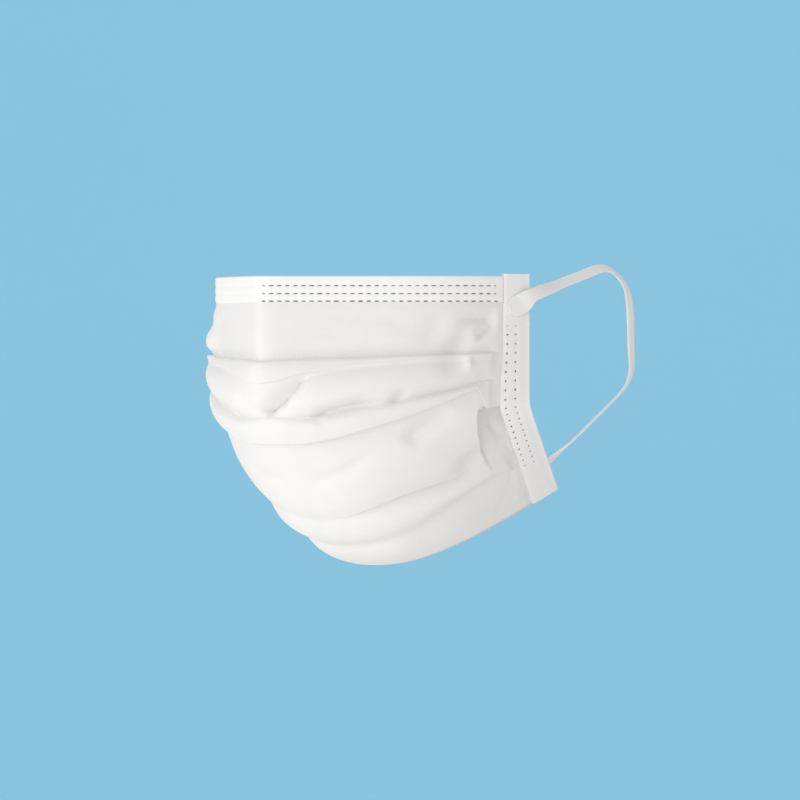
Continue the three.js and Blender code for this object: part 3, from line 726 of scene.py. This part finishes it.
def knit_group():
    """Lengthwise ribs crossed by rows of small knitted stitches. The map runs across and along the band."""
    group, given, result = pattern_group("knit", {"Rib Pitch": 0.00075, "Row Pitch": 0.0006})

    def calc(operation, *values):
        return maths(group, operation, *values)

    split = add(group, "ShaderNodeSeparateXYZ", {0: given["Place"]}).outputs
    rib_turns, row_turns = (
        calc("MULTIPLY", calc("DIVIDE", split[axis], given[pitch]), 2 * math.pi)
        for axis, pitch in ((0, "Rib Pitch"), (1, "Row Pitch")))
    lean = calc("MULTIPLY", calc("ABSOLUTE", calc("SINE", calc("MULTIPLY", rib_turns, 0.5))), 2.2)
    stitch = calc("SINE", calc("ADD", row_turns, lean))
    body = calc("ADD", calc("MULTIPLY", calc("COSINE", rib_turns), 0.45), calc("MULTIPLY", stitch, 0.28))
    fuzz = noisy(group, given["Place"], 4200.0, 2.0)
    height = calc("ADD", body, calc("MULTIPLY", fuzz, 0.3))
    group.links.new(height, result["Height"])
    # The tone follows the height: painted shade in the grooves between ribs and stitches, plus the random fuzz.
    group.links.new(ranged(group, height, -0.6, 0.8), result["Tone"])
    return group


def finish_material(name, colour, group, group_inputs, bump):
    """A matt material whose colour, roughness and relief all come from one pattern group."""
    material, tree, shader = new_material(name)
    pattern = add(tree, "ShaderNodeGroup", node_tree=group)
    tree.links.new(led(tree, "ShaderNodeUVMap", uv_map="cloth"), pattern.inputs["Place"])
    for key, value in group_inputs.items():
        pattern.inputs[key].default_value = value
    tone = pattern.outputs["Tone"]
    blended(tree, tone, shade(colour, 0.95), shade(colour, 1.015), shader.inputs["Base Color"])
    tree.links.new(ranged(tree, tone, 0.0, 1.0, 0.91, 0.79), shader.inputs["Roughness"])
    relief(tree, pattern.outputs["Height"], bump, 0.0002, shader)
    shader.inputs["Sheen Weight"].default_value = 0.15
    shader.inputs["Specular IOR Level"].default_value = 0.25
    return material


def weld_material(colour):
    """Cloth fused to a thin film: darker, smoother and a little glossy."""
    material, tree, shader = new_material("weld_film")
    where = add(tree, "ShaderNodeTexCoord").outputs["Object"]
    noise, spread = noisy(tree, where, 900.0, 2.0), noisy(tree, where, 90.0, 1.0)
    factor = ranged(tree, maths(tree, "ADD", noise, spread), 0.7, 1.3)
    blended(tree, factor, shade(colour, 0.7), shade(colour, 1.5), shader.inputs["Base Color"])
    tree.links.new(ranged(tree, noise, 0.3, 0.7, 0.35, 0.6), shader.inputs["Roughness"])
    relief(tree, noise, 0.3, 0.0001, shader)
    return material


def mask_material(kind):
    """One material of the mask, made on first use."""
    made = bpy.data.materials.get(kind)
    if made:
        return made
    colours = bpy.context.scene.mask_colours
    if kind == "weld_film":
        return weld_material(colours.weld)
    if kind == "elastic_knit":
        return finish_material(kind, colours.elastic, bpy.data.node_groups.get("knit") or knit_group(), {}, 0.1)
    colour, pitch = (colours.cloth, 0.0011) if kind == "mask_nonwoven" else (colours.strip, 0.0009)
    group = bpy.data.node_groups.get("nonwoven") or nonwoven_group()
    return finish_material(kind, colour, group, {"Bond Pitch": pitch}, 0.16)


def finish_piece(piece, material, slot, *nodes):
    """Gives a piece its material and its body, and hides the solids it stands for. The slot is not used."""
    piece.data.materials.clear()
    piece.data.materials.append(mask_material(material))
    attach(piece, "root")
    if nodes:
        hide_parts(*nodes)


# Folded strips
def pit(distance_along, distance_aside, pitch, length, width):
    """How deep a weld presses at a point: 1 inside a dash or dot, fading over its rim."""
    past = np.abs((distance_along / pitch + 0.5) % 1 - 0.5) * pitch
    beyond = np.maximum(past - (length - width) / 2, 0)
    off = np.hypot(beyond, distance_aside)
    return 1 - smooth(width * 0.35, width * 0.85, off)


def route_lengths(points):
    """The length of a polyline up to each of its points."""
    steps = np.linalg.norm(np.diff(points, axis=0), axis=1)
    return np.concatenate([[0], np.cumsum(steps)])


def fold_profile(width, front, back, radius, dense):
    """A strip's outer face from its front edge round the fold to its back edge: (from fold, out, front share)."""
    rows = [(w, front, 1.0) for w in dense]
    middle, half = (front + back) / 2, (front - back) / 2
    for angle in np.linspace(80, -80, 9):
        a = math.radians(angle)
        rows.append((radius * (1 - math.cos(a)), middle + half * math.sin(a), 0.0))
    rows += [(w, back, -1.0) for w in np.linspace(radius * 1.2, width, 12)]
    return np.array(rows)


def taper(fold, width):
    """A strip thins towards its free edge, so that it lies on the cloth without a step."""
    return 1 - 0.7 * smooth(width - THIN_EDGE, width, fold)


def front_rows(width, count, lines, mark_width):
    """Rows of a strip's front as distances from its fold, closer together over its lines of welds."""
    rows = [np.linspace(0.6 * MM, width, count)]
    rows += [line + np.linspace(-0.6, 0.6, 9) * mark_width for line in lines]
    return sorted({round(float(row), 6) for row in np.concatenate(rows)}, reverse=True)


def strip_grid(profile, run):
    """The profile at each place of the run: distances from the fold, how far out, and 1 in front or -1 behind."""
    return (profile[:, k][None, :] + 0 * run[:, None] for k in range(3))


def weld_press(run, lines, pitch, mark, fold, front, groove):
    """How deep the front is pressed by its welds, and in a shallow groove along each line of them."""
    press = np.zeros_like(fold)
    count = weld_count(lines, pitch)
    for distance, where, lengths, *_ in lines:
        gone = np.interp(run, where, lengths, left=-1, right=-1)[:, None]
        depth = pit(gone, fold - distance, lengths[-1] / count, *mark)
        press += np.where((gone > -0.5) & (front > 0), depth, 0)
        press += groove[0] * np.exp(-(((fold - distance) / groove[1]) ** 2)) * (front > 0)
    return press * WELD_DEPTH


def length_setting(name, about, default, digits=5):
    return bpy.props.FloatProperty(name=name, description=about, default=default, unit="LENGTH", precision=digits)


def colour_setting(name, about, default):
    return bpy.props.FloatVectorProperty(
        name=name, description=about, subtype="COLOR", size=3, min=0, max=1, default=default)


class MaskSizes(bpy.types.PropertyGroup):
    wall: length_setting("Cloth", "Thickness of the layered cloth", 0.00045)
    strip_wall: length_setting("Strip", "Thickness of one layer of a folded strip", 0.0002)
    hem_height: length_setting("Hem height", "Width of the top hem", 0.0088, 4)
    dash_pitch: length_setting("Dash pitch", "Distance between weld dashes of the hem", 0.00255)
    dash_length: length_setting("Dash length", "Length of a weld dash", 0.0017)
    dash_width: length_setting("Dash width", "Width of a weld dash", 0.00048)
    dot_pitch: length_setting("Dot pitch", "Distance between weld dots of a binding", 0.0029)
    dot_width: length_setting("Dot width", "Width of a weld dot", 0.00105)
    loop_width: length_setting("Loop width", "Width of the flat elastic", 0.0043, 4)
    loop_thickness: length_setting("Loop thickness", "Thickness of the flat elastic", 0.0009)


class MaskColours(bpy.types.PropertyGroup):
    cloth: colour_setting("Cloth", "Colour of the mask's cloth", (0.845, 0.837, 0.824))
    strip: colour_setting("Hem and bindings", "Colour of the folded strips", (0.925, 0.92, 0.912))
    elastic: colour_setting("Elastic", "Colour of the ear loops", (0.93, 0.92, 0.9))
    weld: colour_setting("Welds", "Colour of the fused film in a weld", (0.2, 0.19, 0.185))
    backdrop: colour_setting("Backdrop", "Colour of the floor and backdrop", (0.305, 0.665, 0.9))


def dash_lines():
    """The hem's rows of dashes: distance from the fold, places across, lengths along, points, facings."""
    lines = []
    for distance in HEM_DASH_ROWS:
        across = np.linspace(-HEM_DASH_REACH, HEM_DASH_REACH, 801)
        down = share_down(distance, across)
        points = place(across, down, HEM_FRONT)
        lines.append((distance, across, route_lengths(points), points, outward(across, down)))
    return lines


def dot_lines(side):
    """A binding's columns of dots: distance from the fold, heights, lengths down, points, facings."""
    lines = []
    for distance in DOT_COLUMNS:
        down = np.linspace(DOTS_FROM, DOTS_TO, 401)
        across = side * (1 - share_across(distance, down))
        points = place(across, down, BINDING_FRONT)
        lines.append((distance, down, route_lengths(points), points, outward(across, down)))
    return lines


def weld_count(lines, pitch):
    """Every line holds the same number of welds, so that they stand side by side."""
    return max(1, round(float(np.mean([line[2][-1] for line in lines])) / pitch))


class MASK_OT_cloth(bpy.types.Operator):
    """Builds the pleated cloth of the mask"""

    bl_idname = "mask.cloth"
    bl_label = "Pleated cloth"

    def execute(self, context):
        wall = context.scene.mask_sizes.wall
        shares = column_shares(CLOTH_COLUMNS)
        downs, outs, free = (rounded_rows(rows, 2).T for rows in cloth_rows(shares))
        share = shares[:, None] + 0 * downs
        sunk = dent_depth(share, downs) + fold_depth(share, downs, free)
        loose = pressed(share, downs)
        downs = downs * loose + np.sort(downs, axis=1) * (1 - loose)
        outs = (outs - sunk) * loose - SEAT_DEPTH * covered(share, downs) - crease_depth(share, downs) * loose
        outs = outs - hollow_depth(share, downs)
        across = share * (1 - share_across(EDGE_INSET, downs))
        outer = place(across, downs, outs)
        inner = outer - grid_normals(outer) * wall
        places = np.stack([share * HALF_WIDTH, -downs * FRONT_LENGTH], -1)
        piece = shell("mask_cloth_sheet", outer, inner, places)
        finish_piece(piece, "mask_nonwoven", "mask_cloth", "mask_body")
        return {"FINISHED"}


class MASK_OT_hem(bpy.types.Operator):
    """Builds the folded hem along the top edge, with its pressed weld dashes"""

    bl_idname = "mask.hem"
    bl_label = "Top hem"

    def execute(self, context):
        sizes = context.scene.mask_sizes
        width, mark = sizes.hem_height, (sizes.dash_length, sizes.dash_width)
        rows = [row for row in front_rows(width, 14, HEM_DASH_ROWS, sizes.dash_width) if row <= width]
        profile = fold_profile(width, HEM_FRONT, HEM_BACK, HEM_RADIUS, rows)
        end = float(1 - share_across(BINDING_WIDTH + 0.1 * MM, 0.0))
        run = np.linspace(-end, end, HEM_COLUMNS)
        fold, out, front = strip_grid(profile, run)
        across = run[:, None] + 0 * fold
        out = out - weld_press(run, dash_lines(), sizes.dash_pitch, mark, fold, front, DASH_GROOVE)
        out = out - smooth(width - SUNK_EDGE, width, fold) * (front > 0) * HEM_SINK
        outer = place(across, fold * share_down(1.0, across), out)
        inner = outer + grid_normals(outer) * (sizes.strip_wall * taper(fold, width))[..., None]
        places = np.stack([across * HALF_WIDTH, -np.where(front < 0, -fold, fold)], -1)
        piece = shell("top_hem_strip", outer, inner, places)
        finish_piece(piece, "strip_nonwoven", "hem_cloth", "top_hem")
        return {"FINISHED"}


class MASK_OT_bindings(bpy.types.Operator):
    """Builds the two folded side bindings, with their pressed weld dots"""

    bl_idname = "mask.bindings"
    bl_label = "Side bindings"

    def execute(self, context):
        sizes = context.scene.mask_sizes
        width, mark = BINDING_WIDTH, (sizes.dot_width, sizes.dot_width)
        rows = front_rows(width, 16, DOT_COLUMNS, sizes.dot_width)
        profile = fold_profile(width, BINDING_TOP, BINDING_BACK, BINDING_RADIUS, rows)
        run = np.linspace(-float(share_down(0.7 * MM, 1.0)), 1.004, BINDING_ROWS)
        for side, name in SIDES:
            fold, out, front = strip_grid(profile, run)
            down = run[:, None] + 0 * fold
            below_hem = smooth(*BINDING_OVER_HEM, down) * (front > 0)
            out = out - below_hem * (BINDING_TOP - BINDING_FRONT)
            out = out - weld_press(run, dot_lines(side), sizes.dot_pitch, mark, fold, front, DOT_GROOVE)
            step = BINDING_FOLD_SINK * smooth(3.2 * MM, 2.2 * MM, fold)
            step = step + BINDING_SINK * smooth(width - SUNK_EDGE, width, fold)
            out = out - step * (front > 0)
            outer = place(side * (1 - share_across(1.0, down) * fold), down, out)
            inner = outer + grid_normals(outer) * (side * sizes.strip_wall * taper(fold, width))[..., None]
            places = np.stack([np.where(front < 0, -fold, fold), -down * FRONT_LENGTH], -1)
            piece = shell(f"binding_{name}_strip", outer, inner, places)
            finish_piece(piece, "strip_nonwoven", "binding_cloth", f"binding_{name}")
        return {"FINISHED"}


def weld_tree():
    """Lays fused films along polylines: evenly spaced, facing the way the points say."""
    tree = bpy.data.node_groups.new("weld_row", "GeometryNodeTree")
    tree.interface.new_socket("Geometry", in_out="INPUT", socket_type="NodeSocketGeometry")
    tree.interface.new_socket("Count", in_out="INPUT", socket_type="NodeSocketInt").default_value = 60
    for label in ("Length", "Width", "Thickness"):
        tree.interface.new_socket(label, in_out="INPUT", socket_type="NodeSocketFloat")
    tree.interface.new_socket("Film", in_out="INPUT", socket_type="NodeSocketMaterial")
    tree.interface.new_socket("Geometry", in_out="OUTPUT", socket_type="NodeSocketGeometry")
    given = tree.nodes.new("NodeGroupInput").outputs
    result = tree.nodes.new("NodeGroupOutput")

    def node(kind, inputs=None, **settings):
        return led(tree, kind, inputs, **settings)

    curve = node("GeometryNodeMeshToCurve", {0: given["Geometry"]})
    spaced = node("GeometryNodeResampleCurve", {"Curve": curve, "Count": given["Count"]}, mode="COUNT")
    facing = node("GeometryNodeInputNamedAttribute", {"Name": "facing"}, data_type="FLOAT_VECTOR")
    upright = node("FunctionNodeAlignRotationToVector", {"Vector": facing}, axis="Z")
    tangent = node("GeometryNodeInputTangent")
    turned = node(
        "FunctionNodeAlignRotationToVector", {"Rotation": upright, "Vector": tangent}, axis="X", pivot_axis="Z")
    shown = node("GeometryNodeInputNamedAttribute", {"Name": "shown"}, data_type="FLOAT")
    chosen = node("FunctionNodeCompare", {0: shown, 1: 0.5}, operation="GREATER_THAN")
    uneven = node(
        "FunctionNodeRandomValue", {0: (0.75, 0.75, 1), 1: (1.08, 1.1, 1), "Seed": 7}, data_type="FLOAT_VECTOR")
    film = node("GeometryNodeMeshUVSphere", {"Segments": 12, "Rings": 6, "Radius": 0.5})
    size = node("ShaderNodeCombineXYZ", {0: given["Length"], 1: given["Width"], 2: given["Thickness"]})
    shaped = node("GeometryNodeTransform", {"Geometry": film, "Scale": size})
    laid = node("GeometryNodeInstanceOnPoints", {
        "Points": spaced, "Selection": chosen, "Instance": shaped, "Rotation": turned, "Scale": uneven})
    rounded = node("GeometryNodeSetShadeSmooth", {"Geometry": node("GeometryNodeRealizeInstances", {0: laid})})
    finished = node("GeometryNodeSetMaterial", {"Geometry": rounded, "Material": given["Film"]})
    tree.links.new(finished, result.inputs[0])
    return tree


def weld_films(name, slot, rows, values):
    """One piece of weld films along several rows of (points, facings, where films show).

    The values are the weld tree's inputs by their names.
    """
    points, facings, shown = (np.concatenate([row[i] for row in rows]) for i in range(3))
    edges, start = [], 0
    for row in rows:
        edges += [(start + i, start + i + 1) for i in range(len(row[0]) - 1)]
        start += len(row[0])
    mesh = bpy.data.meshes.new(name + "_route")
    mesh.from_pydata([tuple(p) for p in points], edges, [])
    attribute = mesh.attributes.new("facing", "FLOAT_VECTOR", "POINT")
    attribute.data.foreach_set("vector", np.ascontiguousarray(facings, dtype=np.float32).ravel())
    attribute = mesh.attributes.new("shown", "FLOAT", "POINT")
    attribute.data.foreach_set("value", np.ascontiguousarray(shown, dtype=np.float32))
    route = linked(name + "_route", mesh)
    tree = bpy.data.node_groups.get("weld_row") or weld_tree()
    modifier = route.modifiers.new("welds", "NODES")
    modifier.node_group = tree
    for item in tree.interface.items_tree:
        if item.in_out == "INPUT" and item.name in values:
            modifier[item.identifier] = values[item.name]
    evaluated = route.evaluated_get(bpy.context.evaluated_depsgraph_get())
    made = bpy.data.meshes.new_from_object(evaluated)
    made.name = name
    bpy.data.objects.remove(route)
    if not made.polygons:
        raise RuntimeError(f"{name}: no weld films were made")
    finish_piece(linked(name, made), "weld_film", slot)


class MASK_OT_welds(bpy.types.Operator):
    """Lays the fused films in the weld dashes and dots"""

    bl_idname = "mask.welds"
    bl_label = "Welds"

    def execute(self, context):
        sizes = context.scene.mask_sizes
        film = mask_material("weld_film")
        # A pit is as deep as the press and the groove together, and its film lies a little above its floor.
        depth = (1 + DASH_GROOVE[0]) * WELD_DEPTH - 0.3 * FILM
        dash, dot = (sizes.dash_length, sizes.dash_width), (DOT_FILM * sizes.dot_width,) * 2
        for name, slot, lines, pitch, (length, width) in (
                ("hem", "hem_cloth", dash_lines(), sizes.dash_pitch, dash),
                ("binding_left", "binding_cloth", dot_lines(1), sizes.dot_pitch, dot),
                ("binding_right", "binding_cloth", dot_lines(-1), sizes.dot_pitch, dot)):
            rows = []
            for _, where, _, points, facing in lines:
                plain = (where > FILM_GAP[0]) & (where < FILM_GAP[1])
                rows.append((points - facing * depth, facing, np.where(plain, 0.0, 1.0)))
            values = {
                "Count": weld_count(lines, pitch) + 1, "Length": length, "Width": width, "Thickness": FILM,
                "Film": film}
            weld_films(f"{name}_welds", slot, rows, values)
        return {"FINISHED"}


# Ear loops
def through(points, places):
    """The smooth curve through the points; places run from 0 at the first point to the last one's number."""
    widened = np.vstack([2 * points[0] - points[1], points, 2 * points[-1] - points[-2]])
    i = np.clip(np.floor(places).astype(int), 0, len(points) - 2)
    u = (places - i)[:, None]
    before, start, end, after = (widened[i + k] for k in range(4))
    first, second, third = (
        np.sqrt(np.linalg.norm(b - a, axis=1))[:, None] for a, b in ((before, start), (start, end), (end, after)))
    leaving = ((start - before) / first - (end - before) / (first + second)) * second + (end - start)
    arriving = (end - start) - ((after - start) / (second + third) - (after - end) / third) * second
    a = 2 * start - 2 * end + leaving + arriving
    b = -3 * start + 3 * end - 2 * leaving - arriving
    return a * u**3 + b * u**2 + leaving * u + start


def loop_route(sag=0.0):
    """The route of a left ear loop that hangs lower by sag: its points, and which way the band faces at each."""
    seat = GAP + BINDING + GAP + LOOP_SEAT_THICKNESS / 2
    tucked = -CLOTH - seat

    def seated(inset, height, lower, out):
        return place(1 - share_across(inset, height), height + lower, out)

    upper = [
        seated(PAD_LENGTH * 1.125, UPPER_END, 0.016, PAD_OUT),
        seated(PAD_LENGTH / 2, UPPER_END, 0, PAD_OUT),
        seated(0, UPPER_END, -0.03, (seat + PAD_OUT) / 2),
    ]
    lower = [
        seated(0, LOWER_END, 0, tucked),
        seated(PAD_LENGTH / 2, LOWER_END, 0.008, TUCKED_OUT),
        seated(PAD_LENGTH, LOWER_END, 0.014, TUCKED_OUT),
    ]
    chord = lower[0] - upper[2]
    along_chord = unit(chord)
    sideways = np.array([1.0, 0, 0])
    out = unit(sideways - along_chord * along_chord[0])
    reach = np.cross(out, along_chord) * LOOP_REACH - np.array([0, 0, sag])
    free = [upper[2] + chord * a + reach * rise + out * LOOP_REACH * o for a, rise, o, _ in LOOP_RUN]
    points = np.array(upper + free + lower)
    facings = [outward(0.95, UPPER_END)] * 3
    step = 0.001
    for i, (*_, degrees) in enumerate(LOOP_RUN, 3):
        ends = through(points, np.array([i - step, i + step]))
        tangent = unit(ends[1] - ends[0])
        side = unit(sideways - tangent * tangent[0])
        turn = math.radians(degrees)
        facings.append(side * math.cos(turn) + np.cross(tangent, side) * math.sin(turn))
    facings += [outward(0.95, LOWER_END)] * 3
    return points, np.array(facings)


def band_sections(sag, loop_width, loop_thickness):
    """The closed sections of a left loop's band, and the knit's coordinates on them."""
    points, facings = loop_route(sag)
    fine = np.linspace(0, len(points) - 1, 4000)
    lengths = route_lengths(through(points, fine))
    gone = np.linspace(0, lengths[-1], LOOP_SECTIONS)
    at = np.interp(gone, lengths, fine)
    centre = through(points, at)
    tangent = unit(np.gradient(centre, axis=0))
    before = np.clip(np.floor(at).astype(int), 0, len(points) - 2)
    share = (at - before)[:, None]
    facing = facings[before] * (1 - share) + facings[before + 1] * share
    facing = unit(facing - tangent * np.sum(facing * tangent, axis=1, keepdims=True))
    flat = np.cross(tangent, facing)
    pad = 1 - smooth(PAD_LENGTH * 0.7, PAD_LENGTH * 1.5, gone)
    width = loop_width + (PAD_WIDTH - loop_width) * pad
    width = width * np.minimum(1, 0.55 + 0.45 * smooth(0, PAD_LENGTH * 0.4, gone))
    thickness = loop_thickness * (1 - 0.45 * pad)
    across = np.linspace(-1, 1, BAND_POINTS)
    edge = np.sqrt(np.clip(1 - np.abs(across) ** 5, 0, 1))
    ribs = 0.04 * (1 - np.cos(across * LOOP_RIBS * math.pi))
    ring = np.concatenate([across, across[::-1][1:-1]])
    thick = edge[None, :] * (1 - ribs[None, :] * (1 - pad[:, None]))
    depth = np.concatenate([thick, -thick[:, ::-1][:, 1:-1]], axis=1)
    sections = (
        centre[:, None] + flat[:, None] * (ring * 0.5)[None, :, None] * width[:, None, None]
        + facing[:, None] * (depth * 0.5)[:, :, None] * thickness[:, None, None])
    return sections, np.stack([ring[None, :] * width[:, None] / 2, gone[:, None] + 0 * ring[None, :]], -1)


class MASK_OT_ear_loops(bpy.types.Operator):
    """Builds the two flat knitted ear loops"""

    bl_idname = "mask.ear_loops"
    bl_label = "Ear loops"

    def execute(self, context):
        sizes = context.scene.mask_sizes
        for side, name in SIDES:
            sag = 0.0 if side > 0 else RIGHT_SAG
            sections, places = band_sections(sag, sizes.loop_width, sizes.loop_thickness)
            piece = tube(f"ear_loop_{name}_band", sections * np.array([side, 1, 1]), places)
            finish_piece(piece, "elastic_knit", "elastic", f"ear_loop_{name}")
        return {"FINISHED"}


# Stage
def backdrop_material():
    """Pale blue paper to the camera. Its light on the mask is kept neutral, as white cards under it would."""
    material, tree, shader = new_material("backdrop_paper")
    where = add(tree, "ShaderNodeTexCoord").outputs["Object"]
    colour = bpy.context.scene.mask_colours.backdrop
    blended(tree, noisy(tree, where, 3.0, 2.0), shade(colour, 1), shade(colour, 1.02), shader.inputs["Base Color"])
    shader.inputs["Roughness"].default_value = 0.95
    shader.inputs["Specular IOR Level"].default_value = 0.1
    card = led(tree, "ShaderNodeBsdfDiffuse", {"Color": (0.85, 0.84, 0.82, 1)})
    seen = add(tree, "ShaderNodeLightPath").outputs["Is Camera Ray"]
    both = led(tree, "ShaderNodeMixShader", {0: seen, 1: card, 2: shader.outputs[0]})
    tree.links.new(both, tree.nodes["Material Output"].inputs["Surface"])
    return material


def area_light(name, position, target, size, power):
    """A square lamp that lights the scene but isn't seen itself."""
    data = bpy.data.lights.new(name, "AREA")
    data.shape = "SQUARE"
    data.size = size
    data.energy = power
    lamp = linked(name, data)
    lamp.location = position
    lamp.rotation_mode = "QUATERNION"
    lamp.rotation_quaternion = (Vector(target) - Vector(position)).to_track_quat("-Z", "Y")
    lamp.visible_camera = False


class MASK_OT_stage(bpy.types.Operator):
    """Sets up the floor, backdrop, lights and camera"""

    bl_idname = "mask.stage"
    bl_label = "Stage"

    def execute(self, context):
        scene = context.scene
        azimuth = math.radians(VIEW_AZIMUTH)
        right = np.array([math.cos(azimuth), math.sin(azimuth), 0])
        away = np.array([-math.sin(azimuth), math.cos(azimuth), 0])
        target = np.array(VIEW_TARGET)
        turn = np.linspace(0, math.pi / 2, 24)
        bend = SWEEP_BACK - SWEEP_RADIUS + SWEEP_RADIUS * np.sin(turn), SWEEP_RADIUS - SWEEP_RADIUS * np.cos(turn)
        profile = [(SWEEP_FRONT, 0.0), *zip(*bend), (SWEEP_BACK, SWEEP_HEIGHT)]
        ground = target * np.array([1, 1, 0]) + np.array([0, 0, FLOOR_Z])
        points = [
            ground + away * depth + right * side * SWEEP_HALF_WIDTH + np.array([0, 0, rise])
            for depth, rise in profile for side in (-1, 1)]
        faces = [(2 * i, 2 * i + 1, 2 * i + 3, 2 * i + 2) for i in range(len(profile) - 1)]
        stage = fresh("backdrop_sweep", points, faces)
        stage.data.materials.append(backdrop_material())

        camera = linked("photo_camera", bpy.data.cameras.new("photo_camera"))
        camera.data.sensor_width = SENSOR
        camera.data.lens = SENSOR * VIEW_DISTANCE / VIEW_WIDTH
        camera.data.clip_start, camera.data.clip_end = 0.05, 50
        camera.location = Vector(target - away * VIEW_DISTANCE)
        camera.rotation_mode = "QUATERNION"
        camera.rotation_quaternion = Vector(away).to_track_quat("-Z", "Y")
        scene.camera = camera

        def at(sideways, towards, up):
            return tuple(target + right * sideways - away * towards + np.array([0, 0, up]))

        for name, stand, aim, size, power in LAMPS:
            area_light(name, at(*stand), at(*aim), size, power)
        world = bpy.data.worlds.new("studio")
        world.use_nodes = True
        background = world.node_tree.nodes["Background"]
        background.inputs[0].default_value = (1, 1, 1, 1)
        background.inputs[1].default_value = SKY
        scene.world = world
        scene.view_settings.view_transform = "Standard"
        return {"FINISHED"}


STEPS = (
    MASK_OT_stage,
    MASK_OT_cloth,
    MASK_OT_hem,
    MASK_OT_bindings,
    MASK_OT_welds,
    MASK_OT_ear_loops,
)


class MASK_PT_panel(bpy.types.Panel):
    """Lists the steps that build the mask"""

    bl_idname = "MASK_PT_panel"
    bl_label = "Surgical Face Mask"
    bl_space_type = "VIEW_3D"
    bl_region_type = "UI"
    bl_category = "Mask"

    def draw(self, context):
        for group in (context.scene.mask_sizes, context.scene.mask_colours):
            for name in group.bl_rna.properties.keys():
                if name not in ("rna_type", "name"):
                    self.layout.prop(group, name)
        for step in STEPS:
            self.layout.operator(step.bl_idname)


CLASSES = (MaskSizes, MaskColours) + STEPS + (MASK_PT_panel,)


def register():
    for made in CLASSES:
        bpy.utils.register_class(made)
    bpy.types.Scene.mask_sizes = bpy.props.PointerProperty(type=MaskSizes)
    bpy.types.Scene.mask_colours = bpy.props.PointerProperty(type=MaskColours)


def unregister():
    del bpy.types.Scene.mask_colours
    del bpy.types.Scene.mask_sizes
    for made in reversed(CLASSES):
        bpy.utils.unregister_class(made)


def main():
    register()
    bpy.ops.mask.stage()
    bpy.ops.mask.cloth()
    bpy.ops.mask.hem()
    bpy.ops.mask.bindings()
    bpy.ops.mask.welds()
    bpy.ops.mask.ear_loops()


if __name__ == "__main__":
    main()
